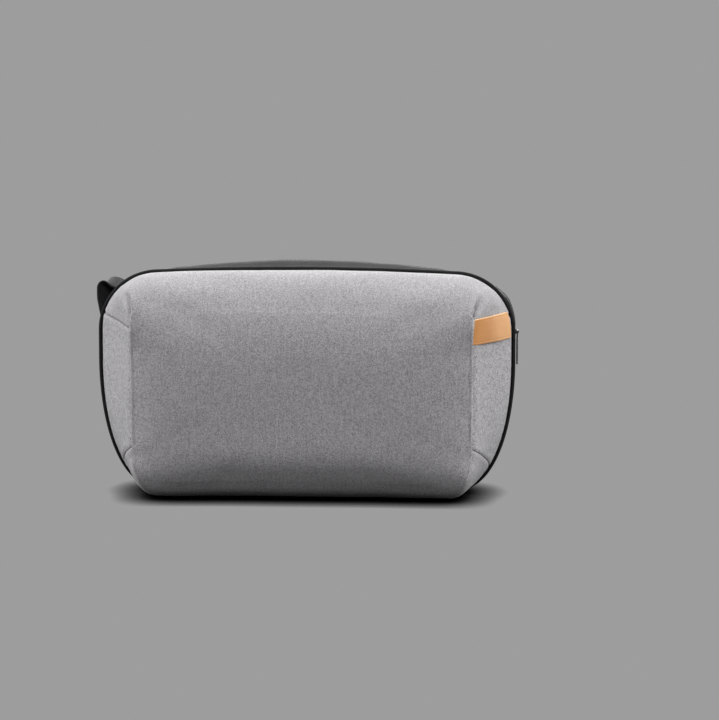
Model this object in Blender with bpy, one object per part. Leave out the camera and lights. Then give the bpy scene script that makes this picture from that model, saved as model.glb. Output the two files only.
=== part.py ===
"""Camera bag: a padded clamshell sling, 344 mm wide and 190 mm tall over the body.

Frame: metres, +Z up, the bag stands on its base at z = 0.  The front face looks towards -Y and
+X is on the right as seen from the front, the side with the leather tab.  y = 0 is the seam
plane between the grey front shell and the black back body, and the origin is the middle of the
base panel's underside.

Both shells are lofted from cross sections parallel to the XZ plane.  Each section is a rounded
outline with a slightly crowned top edge, circular top corners and long tapering lower corners.
"""

import math

import bmesh
import bpy
from mathutils import Matrix, Vector

for old in list(bpy.data.objects):
    bpy.data.objects.remove(old, do_unlink=True)

MM = 0.001
SIDES = ((-1, "left"), (1, "right"))

# ---- driving dimensions ----------------------------------------------------------------------
HALF_WIDTH = 172 * MM          # at the seam plane
TOP_Z = 187.5 * MM             # crown of the seam outline
CROWN_DROP = 3 * MM            # how much lower the top edge is where the corner starts
TOP_RADIUS = 50 * MM
CORNER_X = HALF_WIDTH - TOP_RADIUS            # centre of the circular top corner
CORNER_Z = TOP_Z - CROWN_DROP - TOP_RADIUS
LOW_CURVE_X, LOW_CURVE_Z = 48 * MM, 110 * MM  # reach of the tapering lower corner
BOTTOM_Z = 2.2 * MM            # the fabric hangs just above the wear panel
FRONT_DEPTH = 60 * MM
BACK_DEPTH = 45 * MM
FABRIC = 1.6 * MM
FOAM = 5 * MM
FOAM_GAP = 1.3 * MM
GAP = 0.35 * MM                # between the zip tapes, and between back pads and back shell

HINGE_Y, FOLD_Z = -50 * MM, 3 * MM            # fold line of the clamshell front
ZIP_END_Z = 45 * MM                           # the zip stops here on both sides
ZIP_INSET = 2.0 * MM

STRAP_WIDTH = 23 * MM
RING_X, RING_Y, RING_Z = 118 * MM, 53.5 * MM, 174.5 * MM   # upper bar of the strap ring


# ---- materials -------------------------------------------------------------------------------
def material(name, rgb, roughness, metallic=0.0):
    mat = bpy.data.materials.new(name)
    mat.use_nodes = True
    shader = mat.node_tree.nodes["Principled BSDF"]
    shader.inputs["Base Color"].default_value = (*rgb, 1.0)
    shader.inputs["Roughness"].default_value = roughness
    shader.inputs["Metallic"].default_value = metallic
    mat.diffuse_color = (*rgb, 1.0)
    return mat


GREY = material("heather_fabric", rgb=(0.33, 0.32, 0.335), roughness=0.9)
BLACK = material("black_fabric", rgb=(0.03, 0.03, 0.032), roughness=0.85)
TRIM = material("black_trim", rgb=(0.008, 0.008, 0.009), roughness=0.6)
LEATHER = material("tan_leather", rgb=(0.58, 0.30, 0.13), roughness=0.5)
LINING = material("lining", rgb=(0.11, 0.11, 0.12), roughness=0.9)
MESH_PAD = material("air_mesh", rgb=(0.02, 0.02, 0.022), roughness=0.95)
WEBBING = material("webbing", rgb=(0.012, 0.012, 0.013), roughness=0.55)
METAL = material("zip_metal", rgb=(0.05, 0.05, 0.052), roughness=0.35, metallic=1.0)
PLASTIC = material("moulded_plastic", rgb=(0.02, 0.02, 0.02), roughness=0.4)
BOARD = material("stiffener_board", rgb=(0.5, 0.5, 0.48), roughness=0.5)


# ---- plane geometry --------------------------------------------------------------------------
def in_mm(rows):
    """Turns rows of millimetres into rows of metres."""
    return [tuple(value * MM for value in row) for row in rows]


def span(side, near, far, middle=0.0):
    """The low and high ends of an interval on one side of a middle."""
    return sorted((middle + side * near, middle + side * far))


def arc(centre, radius, start, end, count):
    """Points on a circular arc, both ends included, angles in degrees."""
    angles = [math.radians(start + (end - start) * i / count) for i in range(count + 1)]
    return [(centre[0] + radius * math.cos(a), centre[1] + radius * math.sin(a)) for a in angles]


def rounded_rectangle(x_span, v_span, radius, sides):
    """Counter-clockwise (x, v) points of a rectangle with round corners."""
    (x0, x1), (v0, v1) = x_span, v_span
    corners = [(x1 - radius, v1 - radius), (x0 + radius, v1 - radius),
               (x0 + radius, v0 + radius), (x1 - radius, v0 + radius)]
    return [point for i, corner in enumerate(corners)
            for point in arc(corner, radius, 90 * i, 90 * i + 90, sides)]


def right_normals(points, closed):
    """Unit normals to the right of the direction of travel; inward on a clockwise outline."""
    count, found = len(points), []
    for i in range(count):
        before = points[i - 1] if closed or i else points[0]
        after = points[(i + 1) % count] if closed or i < count - 1 else points[-1]
        dx, dz = after[0] - before[0], after[1] - before[1]
        length = math.hypot(dx, dz)
        found.append((dz / length, -dx / length))
    return found


def inset_outline(points, amount):
    """Moves each point of a closed clockwise outline inwards along its normal."""
    return [(x + amount * nx, z + amount * nz)
            for (x, z), (nx, nz) in zip(points, right_normals(points, closed=True))]


# ---- mesh helpers ----------------------------------------------------------------------------
def finish_mesh(name, bm, mat, smooth=True):
    bmesh.ops.remove_doubles(bm, verts=bm.verts, dist=1e-7)
    bmesh.ops.recalc_face_normals(bm, faces=bm.faces)
    mesh = bpy.data.meshes.new(name)
    bm.to_mesh(mesh)
    bm.free()
    if smooth:
        mesh.shade_smooth()
        mesh.set_sharp_from_angle(angle=math.radians(35))
    if mat:
        mesh.materials.append(mat)
    obj = bpy.data.objects.new(name, mesh)
    bpy.context.scene.collection.objects.link(obj)
    return obj


def boolean(obj, tool, operation):
    """Adds a boolean modifier and hides its tool object."""
    mod = obj.modifiers.new(operation.lower() + "_" + tool.name, "BOOLEAN")
    mod.operation = operation
    mod.object = tool
    mod.solver = "EXACT"
    tool.hide_render = True
    tool.display_type = "WIRE"


def loft(bm, rings, cap_first, cap_last):
    """Skins a list of closed rings of equal length.  Returns the vertex rings."""
    made = [[bm.verts.new(point) for point in ring] for ring in rings]
    count = len(made[0])
    for a, b in zip(made, made[1:]):
        for i in range(count):
            j = (i + 1) % count
            bm.faces.new((a[i], a[j], b[j], b[i]))
    if cap_first:
        bm.faces.new(made[0][::-1])
    if cap_last:
        bm.faces.new(made[-1])
    return made


def lofted(name, rings, mat, capped=True, smooth=True):
    """An object skinned over rings; uncapped rings must return to the first."""
    bm = bmesh.new()
    loft(bm, rings, capped, capped)
    return finish_mesh(name, bm, mat, smooth)


def box(name, lo, hi, mat=None, bevel=0.0, segments=1):
    bm = bmesh.new()
    lo, hi = Vector(lo), Vector(hi)
    bmesh.ops.create_cube(bm, size=1.0)
    for v in bm.verts:
        v.co = Vector(((lo[k] + hi[k]) / 2 + v.co[k] * (hi[k] - lo[k]) for k in range(3)))
    if bevel:
        bmesh.ops.bevel(bm, geom=bm.edges[:], offset=bevel, segments=segments,
                        affect="EDGES", profile=0.5)
    return finish_mesh(name, bm, mat)


def cylinder(name, start, end, radius, mat=None, sides=16):
    start, end = Vector(start), Vector(end)
    axis = (end - start).normalized()
    side = axis.orthogonal().normalized()
    other = axis.cross(side)
    angles = [2 * math.pi * i / sides for i in range(sides)]
    rings = [[centre + radius * (math.cos(a) * side + math.sin(a) * other) for a in angles]
             for centre in (start, end)]
    return lofted(name, rings, mat)


def y_cylinder(name, centre, half_length, radius, mat=None, sides=12):
    """A cylinder along Y about a centre."""
    x, y, z = centre
    return cylinder(name, (x, y - half_length, z), (x, y + half_length, z), radius, mat, sides)


def prism_x(name, polygon, x0, x1):
    """Extrudes a polygon of (y, z) corners from x0 to x1."""
    rings = [[Vector((x, y, z)) for y, z in polygon] for x in (x0, x1)]
    return lofted(name, rings, None, smooth=False)


def rounded_pad(name, x_span, z_span, radius, y_span, mat, sides=5):
    """A flat rounded pad facing +Y, with an edge that rolls over."""
    roll, roll_start = 2.5 * MM, 0.45    # inset of the +Y face; share of the depth left upright
    y0, y1 = y_span
    rings = []
    for inset, y in ((0, y0), (0, y0 + roll_start * (y1 - y0)), (roll, y1)):
        loop = rounded_rectangle((x_span[0] + inset, x_span[1] - inset),
                                 (z_span[0] + inset, z_span[1] - inset), radius - inset, sides)
        rings.append([Vector((x, y, z)) for x, z in loop])
    return lofted(name, rings, mat)


def flat_plate(name, half_x, y_span, z_span, radius, mat):
    """A horizontal plate with round corners."""
    loop = rounded_rectangle((-half_x, half_x), y_span, radius, sides=4)
    return lofted(name, [[Vector((x, y, z)) for x, y in loop] for z in z_span], mat)


def ribbon(name, centres, across, width, thick, mat):
    """A flat strip along centres, whose width follows the vectors in across."""
    rings = []
    last = len(centres) - 1
    for i, centre in enumerate(centres):
        tangent = (centres[min(i + 1, last)] - centres[max(i - 1, 0)]).normalized()
        wide = (across[i] - tangent * across[i].dot(tangent)).normalized()
        face = tangent.cross(wide)
        rings.append([centre + wide * width / 2 * w + face * thick / 2 * f
                      for w, f in ((-1, -1), (1, -1), (1, 1), (-1, 1))])
    return lofted(name, rings, mat)


def catmull(points, per_span):
    """A smooth curve through the points (tuples of numbers), sampled per_span times a span."""
    curve = []
    padded = [points[0], *points, points[-1]]
    for i in range(len(points) - 1):
        for k in range(per_span):
            t = k / per_span
            curve.append(tuple(
                0.5 * (2 * b + (c - a) * t + (2 * a - 5 * b + 4 * c - d) * t * t
                       + (3 * b - a - 3 * c + d) * t ** 3)
                for a, b, c, d in zip(*padded[i:i + 4])))
    curve.append(tuple(points[-1]))
    return curve


# ---- section outlines ------------------------------------------------------------------------
# Segment counts of half an outline: top edge, top corner, lower corner, bottom edge.
FINE, COARSE, SEAM_STEPS = (5, 7, 7, 4), (5, 6, 6, 4), (7, 9, 9, 4)


def bezier(p0, p1, p2, p3, t):
    u = 1 - t
    return tuple(u ** 3 * a + 3 * u * u * t * b + 3 * u * t * t * c + t ** 3 * d
                 for a, b, c, d in zip(p0, p1, p2, p3))


def outline(half_width, top, bottom, radius, low_x, low_z, drop, steps):
    """A closed outline of (x, z), clockwise seen from the front, starting at the top centre."""
    n_top, n_corner, n_low, n_bottom = steps
    corner_x, corner_z = half_width - radius, top - drop - radius
    low = min(bottom + low_z, corner_z - 1 * MM)    # where the lower corner starts
    reach = low - bottom
    flat_x = half_width - low_x
    low_controls = [(half_width, low), (half_width, low - 0.55 * reach),
                    (half_width - 0.36 * low_x, bottom), (flat_x, bottom)]
    right = [(corner_x * i / n_top, top - drop * (i / n_top) ** 2) for i in range(n_top)]
    right += arc((corner_x, corner_z), radius, 90, 0, n_corner)
    right += [bezier(*low_controls, i / n_low) for i in range(n_low + 1)]
    right += [(flat_x * (1 - i / n_bottom), bottom) for i in range(1, n_bottom + 1)]
    return right + [(-x, z) for x, z in reversed(right[1:-1])]


def round_off(t, power):
    """0 at t = 0 rising to 1 at t = 1 along a superellipse quarter."""
    t = max(0.0, min(1.0, t))
    return 1 - (1 - t ** power) ** (1 / power)


# Front shell
SEAM_DEPTH = 52 * MM           # where the upright side seams of the front face sit
FACE_HALF = 141 * MM           # half width of the front face between those seams
FACE_CORNER = 10 * MM          # the front face's own upper corners are nearly square
FACE_LOW_X, FACE_LOW_Z = 18 * MM, 24 * MM     # reach of its lower corners
FACE_NARROWING = 70 * MM       # lost from the half width in front of the seams
SIDE_HOLLOW = 2.2 * MM         # how far the sides dip in between seam plane and seams
TOP_ROLL, LOW_ROLL = 87.5 * MM, 46 * MM       # how far the front rolls in at top and bottom
LOW_ROLL_START = 34 * MM


def front_section(depth, steps):
    """Outline of the front shell at a depth in front of the seam plane."""
    t = min(depth / SEAM_DEPTH, 1.0)
    if depth <= SEAM_DEPTH:
        half = HALF_WIDTH - (HALF_WIDTH - FACE_HALF) * t - SIDE_HOLLOW * math.sin(math.pi * t)
    else:
        past_seam = (depth - SEAM_DEPTH) / (FRONT_DEPTH - SEAM_DEPTH)
        half = FACE_HALF - FACE_NARROWING * round_off(past_seam, 2.0)
    low_t = (depth - LOW_ROLL_START) / (FRONT_DEPTH - LOW_ROLL_START)
    return outline(
        half_width=half,
        top=TOP_Z - TOP_ROLL * round_off(depth / FRONT_DEPTH, 2.4),
        bottom=BOTTOM_Z + LOW_ROLL * round_off(low_t, 2.2),
        radius=TOP_RADIUS - (TOP_RADIUS - FACE_CORNER) * t,
        low_x=LOW_CURVE_X - (LOW_CURVE_X - FACE_LOW_X) * t,
        low_z=LOW_CURVE_Z - (LOW_CURVE_Z - FACE_LOW_Z) * t,
        drop=CROWN_DROP * (1 - 0.5 * t),
        steps=steps)


# Back body: gradual changes over the whole depth
BACK_TAPER = 11 * MM           # lost from the half width
BACK_SWELL = 3.2 * MM          # rise of the top part of the way back
BACK_CORNER_GROWTH = 4 * MM    # added to the top radius and to the lower corner's x reach
BACK_DROP_GROWTH = 1.5 * MM
# Back body: changes where the rear edge rolls over
EDGE_START = 31 * MM
EDGE_SIDE, EDGE_TOP, EDGE_BOTTOM = 14 * MM, 14 * MM, 11 * MM
EDGE_RADIUS, EDGE_LOW_X, EDGE_LOW_Z = 10 * MM, 12 * MM, 14 * MM


def back_section(depth, steps):
    """Outline of the back body at a depth behind the seam plane."""
    t = depth / BACK_DEPTH
    edge = round_off((depth - EDGE_START) / (BACK_DEPTH - EDGE_START), 2.0)
    swell = BACK_SWELL * math.sin(math.pi * min(1.0, t * 1.15))
    return outline(
        half_width=HALF_WIDTH - BACK_TAPER * t ** 1.5 - EDGE_SIDE * edge,
        top=TOP_Z + swell - EDGE_TOP * edge,
        bottom=BOTTOM_Z + EDGE_BOTTOM * edge,
        radius=TOP_RADIUS + BACK_CORNER_GROWTH * t - EDGE_RADIUS * edge,
        low_x=LOW_CURVE_X + BACK_CORNER_GROWTH * t - EDGE_LOW_X * edge,
        low_z=LOW_CURVE_Z - EDGE_LOW_Z * edge,
        drop=CROWN_DROP + BACK_DROP_GROWTH * t,
        steps=steps)


def shell(name, section, depths, sign, mat, wall=FABRIC, skin=0.0, steps=FINE):
    """A bowl: section outlines at each depth (mm), skinned outside and inside and closed over
    the last one.  skin is how far the outer surface is set in from the section outlines, wall
    is the thickness, sign is the side of the seam plane along Y."""
    depths = [depth * MM for depth in depths]
    bm = bmesh.new()

    def rings(inset):
        return [[Vector((x, sign * max(depths[0], depth - inset), z))
                 for x, z in inset_outline(section(depth, steps), inset)] for depth in depths]

    outer = loft(bm, rings(skin), False, True)[0]
    inner = loft(bm, rings(skin + wall), False, True)[0]
    for i in range(len(outer)):
        j = (i + 1) % len(outer)
        bm.faces.new((outer[i], inner[i], inner[j], outer[j]))
    return finish_mesh(name, bm, mat)


# ---- clamshell front: fabric, gussets, foam --------------------------------------------------
# Section depths in mm
FRONT_DEPTHS = (2.0, 14, 27, 39, 47, 51.8, 54.5, 57.5, 60)
FRONT_FOAM_DEPTHS = (3.0, 14, 27, 39, 47, 54.5, 60)
BACK_DEPTHS = (11.2, 20, 30, 37, 42, 45)
BACK_FOAM_DEPTHS = (11.4, 20, 30, 37, 45)


def fold_region(name, rise, above):
    """Prism above or below the slanted plane from the fold line up to the zip's ends."""
    y_front, y_rear, far_z, half_x = -150 * MM, 30 * MM, 300 * MM, 400 * MM
    slope = (ZIP_END_Z - FOLD_Z) / -HINGE_Y
    corners = [(y, FOLD_Z + slope * (y - HINGE_Y) + rise) for y in (y_front, y_rear)]
    far_z = far_z if above else -far_z
    corners += [(y_rear, far_z), (y_front, far_z)]
    return prism_x(name, corners, -half_x, half_x)


def gusset_window(name, side, shrink):
    """Prism that bounds one gusset panel: forward to the upright seam, back to the piping."""
    y_front, y_rear = -50.5 * MM + shrink, -4 * MM - shrink
    polygon = [(y_front, 44 * MM + shrink), (y_rear, 46 * MM + shrink),
               (y_rear, 149 * MM - shrink), (y_front, 147 * MM - shrink)]
    return prism_x(name, polygon, side * 130 * MM, side * 250 * MM)


def build_front():
    front = shell("front_panel_shell", front_section, FRONT_DEPTHS, -1, GREY)
    boolean(front, fold_region("cut_fold_front", 0.0, above=True), "INTERSECT")
    for side, label in SIDES:
        boolean(front, gusset_window("cut_window_" + label, side, 0.0), "DIFFERENCE")
        gusset = shell(label + "_gusset_panel", front_section, FRONT_DEPTHS, -1, GREY)
        window = gusset_window("keep_window_" + label, side, 0.15 * MM)
        boolean(gusset, window, "INTERSECT")

    # The part below the fold stays with the back body.
    base = shell("front_base_shell", front_section, FRONT_DEPTHS[:7], -1, GREY)
    boolean(base, fold_region("cut_fold_base", -0.4 * MM, above=False), "INTERSECT")

    foam = shell("front_foam_liner", front_section, FRONT_FOAM_DEPTHS, -1, LINING,
                 wall=FOAM, skin=FABRIC + FOAM_GAP, steps=COARSE)
    boolean(foam, fold_region("cut_fold_foam", 1.0 * MM, above=True), "INTERSECT")


# ---- perimeter bands that follow the seam outline --------------------------------------------
PIPING_R = 1.5 * MM
BAND_FRONT_Y, BAND_REAR_Y = 1.7 * MM, 10.8 * MM
TAPE_SPLIT_Y = 6.05 * MM       # rear edge of the front zip tape
TAPE_THICK = 0.9 * MM


def crossing(a, b, z):
    """The point at height z on the line from a to b."""
    t = (z - a[1]) / (b[1] - a[1])
    return a[0] + t * (b[0] - a[0]), z


def seam_path(inset, limit, above=True, steps=SEAM_STEPS):
    """The part of the inset seam outline above or below a height, clockwise seen from the
    front: an arch from left to right, or a trough from right to left."""
    points = inset_outline(outline(HALF_WIDTH, TOP_Z, BOTTOM_Z, TOP_RADIUS, LOW_CURVE_X,
                                   LOW_CURVE_Z, CROWN_DROP, steps), inset)
    count = len(points)

    def keep(point):
        return point[1] > limit if above else point[1] < limit

    start = next(i for i in range(count) if not keep(points[i - 1]) and keep(points[i]))
    path = [crossing(points[start - 1], points[start], limit)]
    i = start
    while keep(points[i % count]):
        path.append(points[i % count])
        i += 1
    path.append(crossing(points[(i - 1) % count], points[i % count], limit))
    return path


def band(name, profile, path, mat):
    """Sweeps a closed profile of (outward, y) corners along an open path of (x, z) points."""
    rings = [[Vector((x - out * nx, y, z - out * nz)) for out, y in profile]
             for (x, z), (nx, nz) in zip(path, right_normals(path, closed=False))]
    return lofted(name, rings, mat)


def flat_profile(thick, y0, y1):
    return [(-thick, y0), (0, y0), (0, y1), (-thick, y1)]


def build_bands():
    sides, out, y = 8, -0.1 * MM, -0.2 * MM
    angles = [2 * math.pi * (i + 0.5) / sides for i in range(sides)]
    piping = [(out + PIPING_R * math.cos(a), y + PIPING_R * math.sin(a)) for a in angles]
    band("front_piping", piping, seam_path(0.0, ZIP_END_Z), TRIM)
    band("lower_piping", piping, seam_path(0.0, ZIP_END_Z - 0.5 * MM, above=False), TRIM)

    tape_path = seam_path(ZIP_INSET, ZIP_END_Z)
    for label, y0, y1 in (("front", BAND_FRONT_Y, TAPE_SPLIT_Y),
                          ("rear", TAPE_SPLIT_Y + GAP, BAND_REAR_Y)):
        band("zip_tape_" + label, flat_profile(TAPE_THICK, y0, y1), tape_path, TRIM)
    band("lower_joining_band", flat_profile(1.6 * MM, BAND_FRONT_Y, BAND_REAR_Y),
         seam_path(1.2 * MM, ZIP_END_Z - 0.6 * MM, above=False, steps=FINE), BLACK)

    stop_x = seam_path(ZIP_INSET, ZIP_END_Z + 4 * MM)[-1][0] + 0.4 * MM
    stop_thick = 1.2 * MM
    for side, label in SIDES:
        x0, x1 = span(side, stop_x, stop_x + stop_thick)
        box("zip_stop_" + label, (x0, 6.7 * MM, ZIP_END_Z + 1.5 * MM),
            (x1, 9.4 * MM, ZIP_END_Z + 3.8 * MM), METAL)


# ---- back body and base ----------------------------------------------------------------------
def build_back():
    shell("back_shell", back_section, BACK_DEPTHS, 1, BLACK)
    shell("back_foam_liner", back_section, BACK_FOAM_DEPTHS, 1, LINING,
          wall=FOAM, skin=FABRIC + FOAM_GAP, steps=COARSE)
    for side, label in SIDES:
        rounded_pad("back_pad_" + label, x_span=span(side, 12 * MM, 118 * MM),
                    z_span=(30 * MM, 148 * MM), radius=18 * MM,
                    y_span=(BACK_DEPTH + GAP, 50.5 * MM), mat=MESH_PAD)


BASE_HALF_X = 112 * MM
# name, y from, y to, z from, z to, corner radius (mm), material
BASE_PLATES = (
    ("base_panel", -30, 33, 0.0, 0.75, 10, BLACK),
    ("base_board", -31, 23, 10.6, 12.0, 6, BOARD),
    ("base_foam", -31, 24, 12.4, 16.4, 6, LINING),
)


def build_base():
    for name, y0, y1, z0, z1, radius, mat in BASE_PLATES:
        flat_plate(name, BASE_HALF_X, (y0 * MM, y1 * MM), (z0 * MM, z1 * MM), radius * MM, mat)


# ---- inside: sleeve, dividers, side webs, front pocket ---------------------------------------
DIVIDER_X, DIVIDER_THICK = 52 * MM, 6 * MM
DIVIDER_TOP = 115 * MM
DIVIDER_BEVEL = 1.6 * MM
FLAP_Z = DIVIDER_TOP + 0.8 * MM            # height of the flap's origin
WEB_CORNERS = in_mm([(158.5, 1.2), (158.5, 10.4), (153, 10.4), (153, 1.2)])   # x outward, y
WEB_STATIONS = in_mm([(58, 2), (90, 0), (124, 0)])                            # z, shift inward
POCKET_Y = -47.2 * MM
POCKET_HALF_X = 112 * MM
POCKET_ZIP_Z = 122 * MM
POCKET_TAPE_HALF = 5.5 * MM


def build_sleeve():
    rounded_pad("tablet_sleeve", x_span=(-122 * MM, 122 * MM), z_span=(22 * MM, 132 * MM),
                radius=12 * MM, y_span=(34.6 * MM, 35.8 * MM), mat=LINING, sides=3)
    box("sleeve_binding", (-118 * MM, 34.2 * MM, 132.4 * MM),
        (118 * MM, 36.2 * MM, 138.4 * MM), TRIM, bevel=0.4 * MM)


def build_divider(side, label):
    """An upright divider and the flap above it, with its origin at its outer lower edge."""
    outer_x = DIVIDER_X + DIVIDER_THICK / 2
    x0, x1 = span(side, DIVIDER_X - DIVIDER_THICK / 2, outer_x)
    box("divider_" + label, (x0, -36 * MM, 17 * MM), (x1, 32.6 * MM, DIVIDER_TOP),
        LINING, DIVIDER_BEVEL, 2)
    flap = box("divider_flap_" + label, (x0, -34 * MM, FLAP_Z + 0.6 * MM),
               (x1, 31 * MM, 160 * MM), LINING, DIVIDER_BEVEL, 2)
    pivot = Vector((side * outer_x, 0, FLAP_Z))
    flap.data.transform(Matrix.Translation(-pivot))
    flap.location = pivot


def build_side_web(side, label):
    rings = [[Vector((side * (x - inward), y, z)) for x, y in WEB_CORNERS]
             for z, inward in WEB_STATIONS]
    lofted("side_web_" + label, rings, LINING)


def build_inner_pocket():
    rounded_pad("inner_pocket_panel", x_span=(-POCKET_HALF_X, POCKET_HALF_X),
                z_span=(40 * MM, 116 * MM), radius=12 * MM,
                y_span=(POCKET_Y, POCKET_Y + 1.2 * MM), mat=LINING, sides=3)
    box("inner_pocket_zip_tape", (-POCKET_HALF_X, POCKET_Y, POCKET_ZIP_Z - POCKET_TAPE_HALF),
        (POCKET_HALF_X, POCKET_Y + 1.0 * MM, POCKET_ZIP_Z + POCKET_TAPE_HALF), TRIM)


def build_inside():
    build_sleeve()
    for side, label in SIDES:
        build_divider(side, label)
        build_side_web(side, label)
    build_inner_pocket()


# ---- zip sliders and their pulls -------------------------------------------------------------
BAR_Z, BAR_R = 3.25 * MM, 0.55 * MM        # height over the tape, radius
PULL_HALF = 1.9 * MM                       # half width of the pull's barrel and tongue
EAR_NEAR, EAR_FAR = 2.2 * MM, 3.4 * MM     # from the middle of the slider
EAR_HALF = 1.5 * MM                        # along the tape


def slider(name, pull_name, origin, tape, outward, length, width, pull_length, pull_width):
    """A slider and its pull.  The tape runs along local X and the slider stands on local Z; the
    pull hangs along local -X from a bar along local Y.  tape and outward are world axes."""
    tape, outward = Vector(tape), Vector(outward)
    axes = Matrix((tape, outward.cross(tape), outward)).transposed()
    place = Matrix.Translation(origin) @ axes.to_4x4()

    def add(obj, tool, operation="UNION"):
        tool.data.transform(place)
        boolean(obj, tool, operation)

    bar_centre = (0, 0, BAR_Z)
    plate = box(name, (-length / 2, -width / 2, 0), (length / 2, width / 2, 1.6 * MM), METAL,
                bevel=0.5 * MM)
    for i, side in enumerate((-1, 1)):
        y0, y1 = span(side, EAR_NEAR, EAR_FAR)
        add(plate, box(f"{name}_ear_{i}", (-EAR_HALF, y0, 1.2 * MM),
                       (EAR_HALF, y1, BAR_Z + 0.9 * MM)))
    add(plate, y_cylinder(f"{name}_bar", bar_centre, 2.8 * MM, BAR_R, sides=10))
    plate.data.transform(place)

    tongue_half, grip_half = 0.6 * MM, 0.75 * MM      # half thicknesses
    pull = y_cylinder(pull_name, bar_centre, PULL_HALF, 1.5 * MM, TRIM, sides=14)
    add(pull, box(pull_name + "_tongue", (-6 * MM, -PULL_HALF, BAR_Z - tongue_half),
                  (-0.9 * MM, PULL_HALF, BAR_Z + tongue_half)))
    add(pull, box(pull_name + "_grip", (-pull_length, -pull_width / 2, BAR_Z - grip_half),
                  (-5 * MM, pull_width / 2, BAR_Z + grip_half), bevel=0.5 * MM))
    add(pull, y_cylinder(pull_name + "_hole", bar_centre, 4 * MM, BAR_R + 0.25 * MM),
        "DIFFERENCE")
    pull.data.transform(place)


def build_sliders():
    # The main slider stands at the lower end of the right top corner's arc.
    main_x = CORNER_X + TOP_RADIUS - ZIP_INSET + 0.3 * MM
    slider("main_zip_slider", "main_zip_pull", origin=(main_x, 6.2 * MM, CORNER_Z),
           tape=(0, 0, 1), outward=(1, 0, 0), length=11 * MM, width=8.2 * MM,
           pull_length=27 * MM, pull_width=5.2 * MM)
    # The pocket slider faces into the bag.
    slider("inner_pocket_slider", "inner_pocket_pull",
           origin=(100 * MM, POCKET_Y + 1.4 * MM, POCKET_ZIP_Z),
           tape=(1, 0, 0), outward=(0, 1, 0), length=7.5 * MM, width=7.0 * MM,
           pull_length=20 * MM, pull_width=4.6 * MM)


# ---- leather tab -----------------------------------------------------------------------------
TAB_LOW, TAB_HIGH, TAB_THICK = 131 * MM, 153 * MM, 2.0 * MM
TAB_FRONT = Vector((141.9 * MM, -51.2 * MM, 0))
TAB_REAR = Vector((169.6 * MM, -4.4 * MM, 0))
TAB_OFFSET, TAB_BOW = 1.45 * MM, 0.8 * MM  # mid-thickness off the end-to-end line, extra bow
TAB_SPANS = 8


def build_leather_tab():
    run = TAB_REAR - TAB_FRONT
    outward = Vector((run.y, -run.x, 0)).normalized()
    stations = []
    for i in range(TAB_SPANS + 1):
        t = i / TAB_SPANS
        offset = TAB_OFFSET + TAB_BOW * math.sin(math.pi * t)
        centre = TAB_FRONT.lerp(TAB_REAR, t) + outward * offset
        inner = centre - outward * TAB_THICK / 2
        outer = centre + outward * TAB_THICK / 2
        stations.append([Vector((face.x, face.y, z)) for face, z in (
            (inner, TAB_LOW), (outer, TAB_LOW), (outer, TAB_HIGH), (inner, TAB_HIGH))])
    lofted("leather_tab", stations, LEATHER)


# ---- side loops ------------------------------------------------------------------------------
# The left loop stands out from the upper corner, the right one lies flat.
LOOP_WIDTH, LOOP_THICK, LOOP_Y = 20 * MM, 1.6 * MM, 23.5 * MM
LEFT_LOOP = in_mm([    # x, z
    (-171.9, 137), (-172.1, 144), (-173.4, 151), (-174.6, 159), (-172.0, 167.4),
    (-165.0, 172.0), (-156.0, 174.6), (-147.5, 180.4), (-140.0, 184.2)])
RIGHT_LOOP_R = TOP_RADIUS + 1.5 * MM
RIGHT_LOOP_ANGLES = (-7, 0, 8, 16, 24, 32, 40)    # degrees round the top corner's centre


def build_side_loops():
    angles = [math.radians(angle) for angle in RIGHT_LOOP_ANGLES]
    right_loop = [(CORNER_X + RIGHT_LOOP_R * math.cos(a), CORNER_Z + RIGHT_LOOP_R * math.sin(a))
                  for a in angles]
    for label, path in (("left", catmull(LEFT_LOOP, 2)), ("right", right_loop)):
        ribbon(label + "_side_loop", [Vector((x, LOOP_Y, z)) for x, z in path],
               [Vector((0, 1, 0))] * len(path), LOOP_WIDTH, LOOP_THICK, WEBBING)


# ---- strap rings, their tabs and the shoulder strap ------------------------------------------
RING_LOW_Z = RING_Z - 12 * MM  # lower bar, which holds the strap
RING_HALF_X = 16.5 * MM
RING_CORNER = 2.2 * MM
WIRE_R = 1.5 * MM
# (y, z) of the ring tab before and after it wraps the upper bar
TAB_RISE = in_mm([(46.3, 157), (46.5, 165), (48.0, 171.6)])
TAB_RETURN = in_mm([(49.2, 174.6), (47.6, 174.4)])
TAB_WRAP_R = 2.45 * MM
STRAP_THICK = 1.8 * MM
STRAP_WRAP_R = 2.5 * MM
# Left half of the strap from the ring to the middle: x, y, z (mm), then the direction of its
# width in degrees from +X towards +Y.
STRAP_FALL = (
    (-118, 57.0, 150, 0), (-118.5, 60.5, 132, 0), (-121, 65, 112, 28), (-124.5, 70, 88, 68),
    (-125.5, 72.5, 62, 90), (-121.5, 73, 36, 90), (-109, 73, 16, 90), (-88, 73, 6.2, 90),
    (-64, 73, 4.6, 90), (0, 73, 4.6, 90),
)


def build_ring(side, label):
    """A rectangular wire ring in the XZ plane: the tab holds its upper bar."""
    x_mid = side * RING_X
    path = rounded_rectangle((x_mid - RING_HALF_X, x_mid + RING_HALF_X), (RING_LOW_Z, RING_Z),
                             RING_CORNER, sides=3)
    angles = [2 * math.pi * i / 8 for i in range(8)]
    rings = [[Vector((x + WIRE_R * math.cos(a) * nx, RING_Y + WIRE_R * math.sin(a),
                      z + WIRE_R * math.cos(a) * nz)) for a in angles]
             for (x, z), (nx, nz) in zip(path, right_normals(path, closed=True))]
    lofted("strap_ring_" + label, rings + rings[:1], METAL, capped=False)


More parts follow.
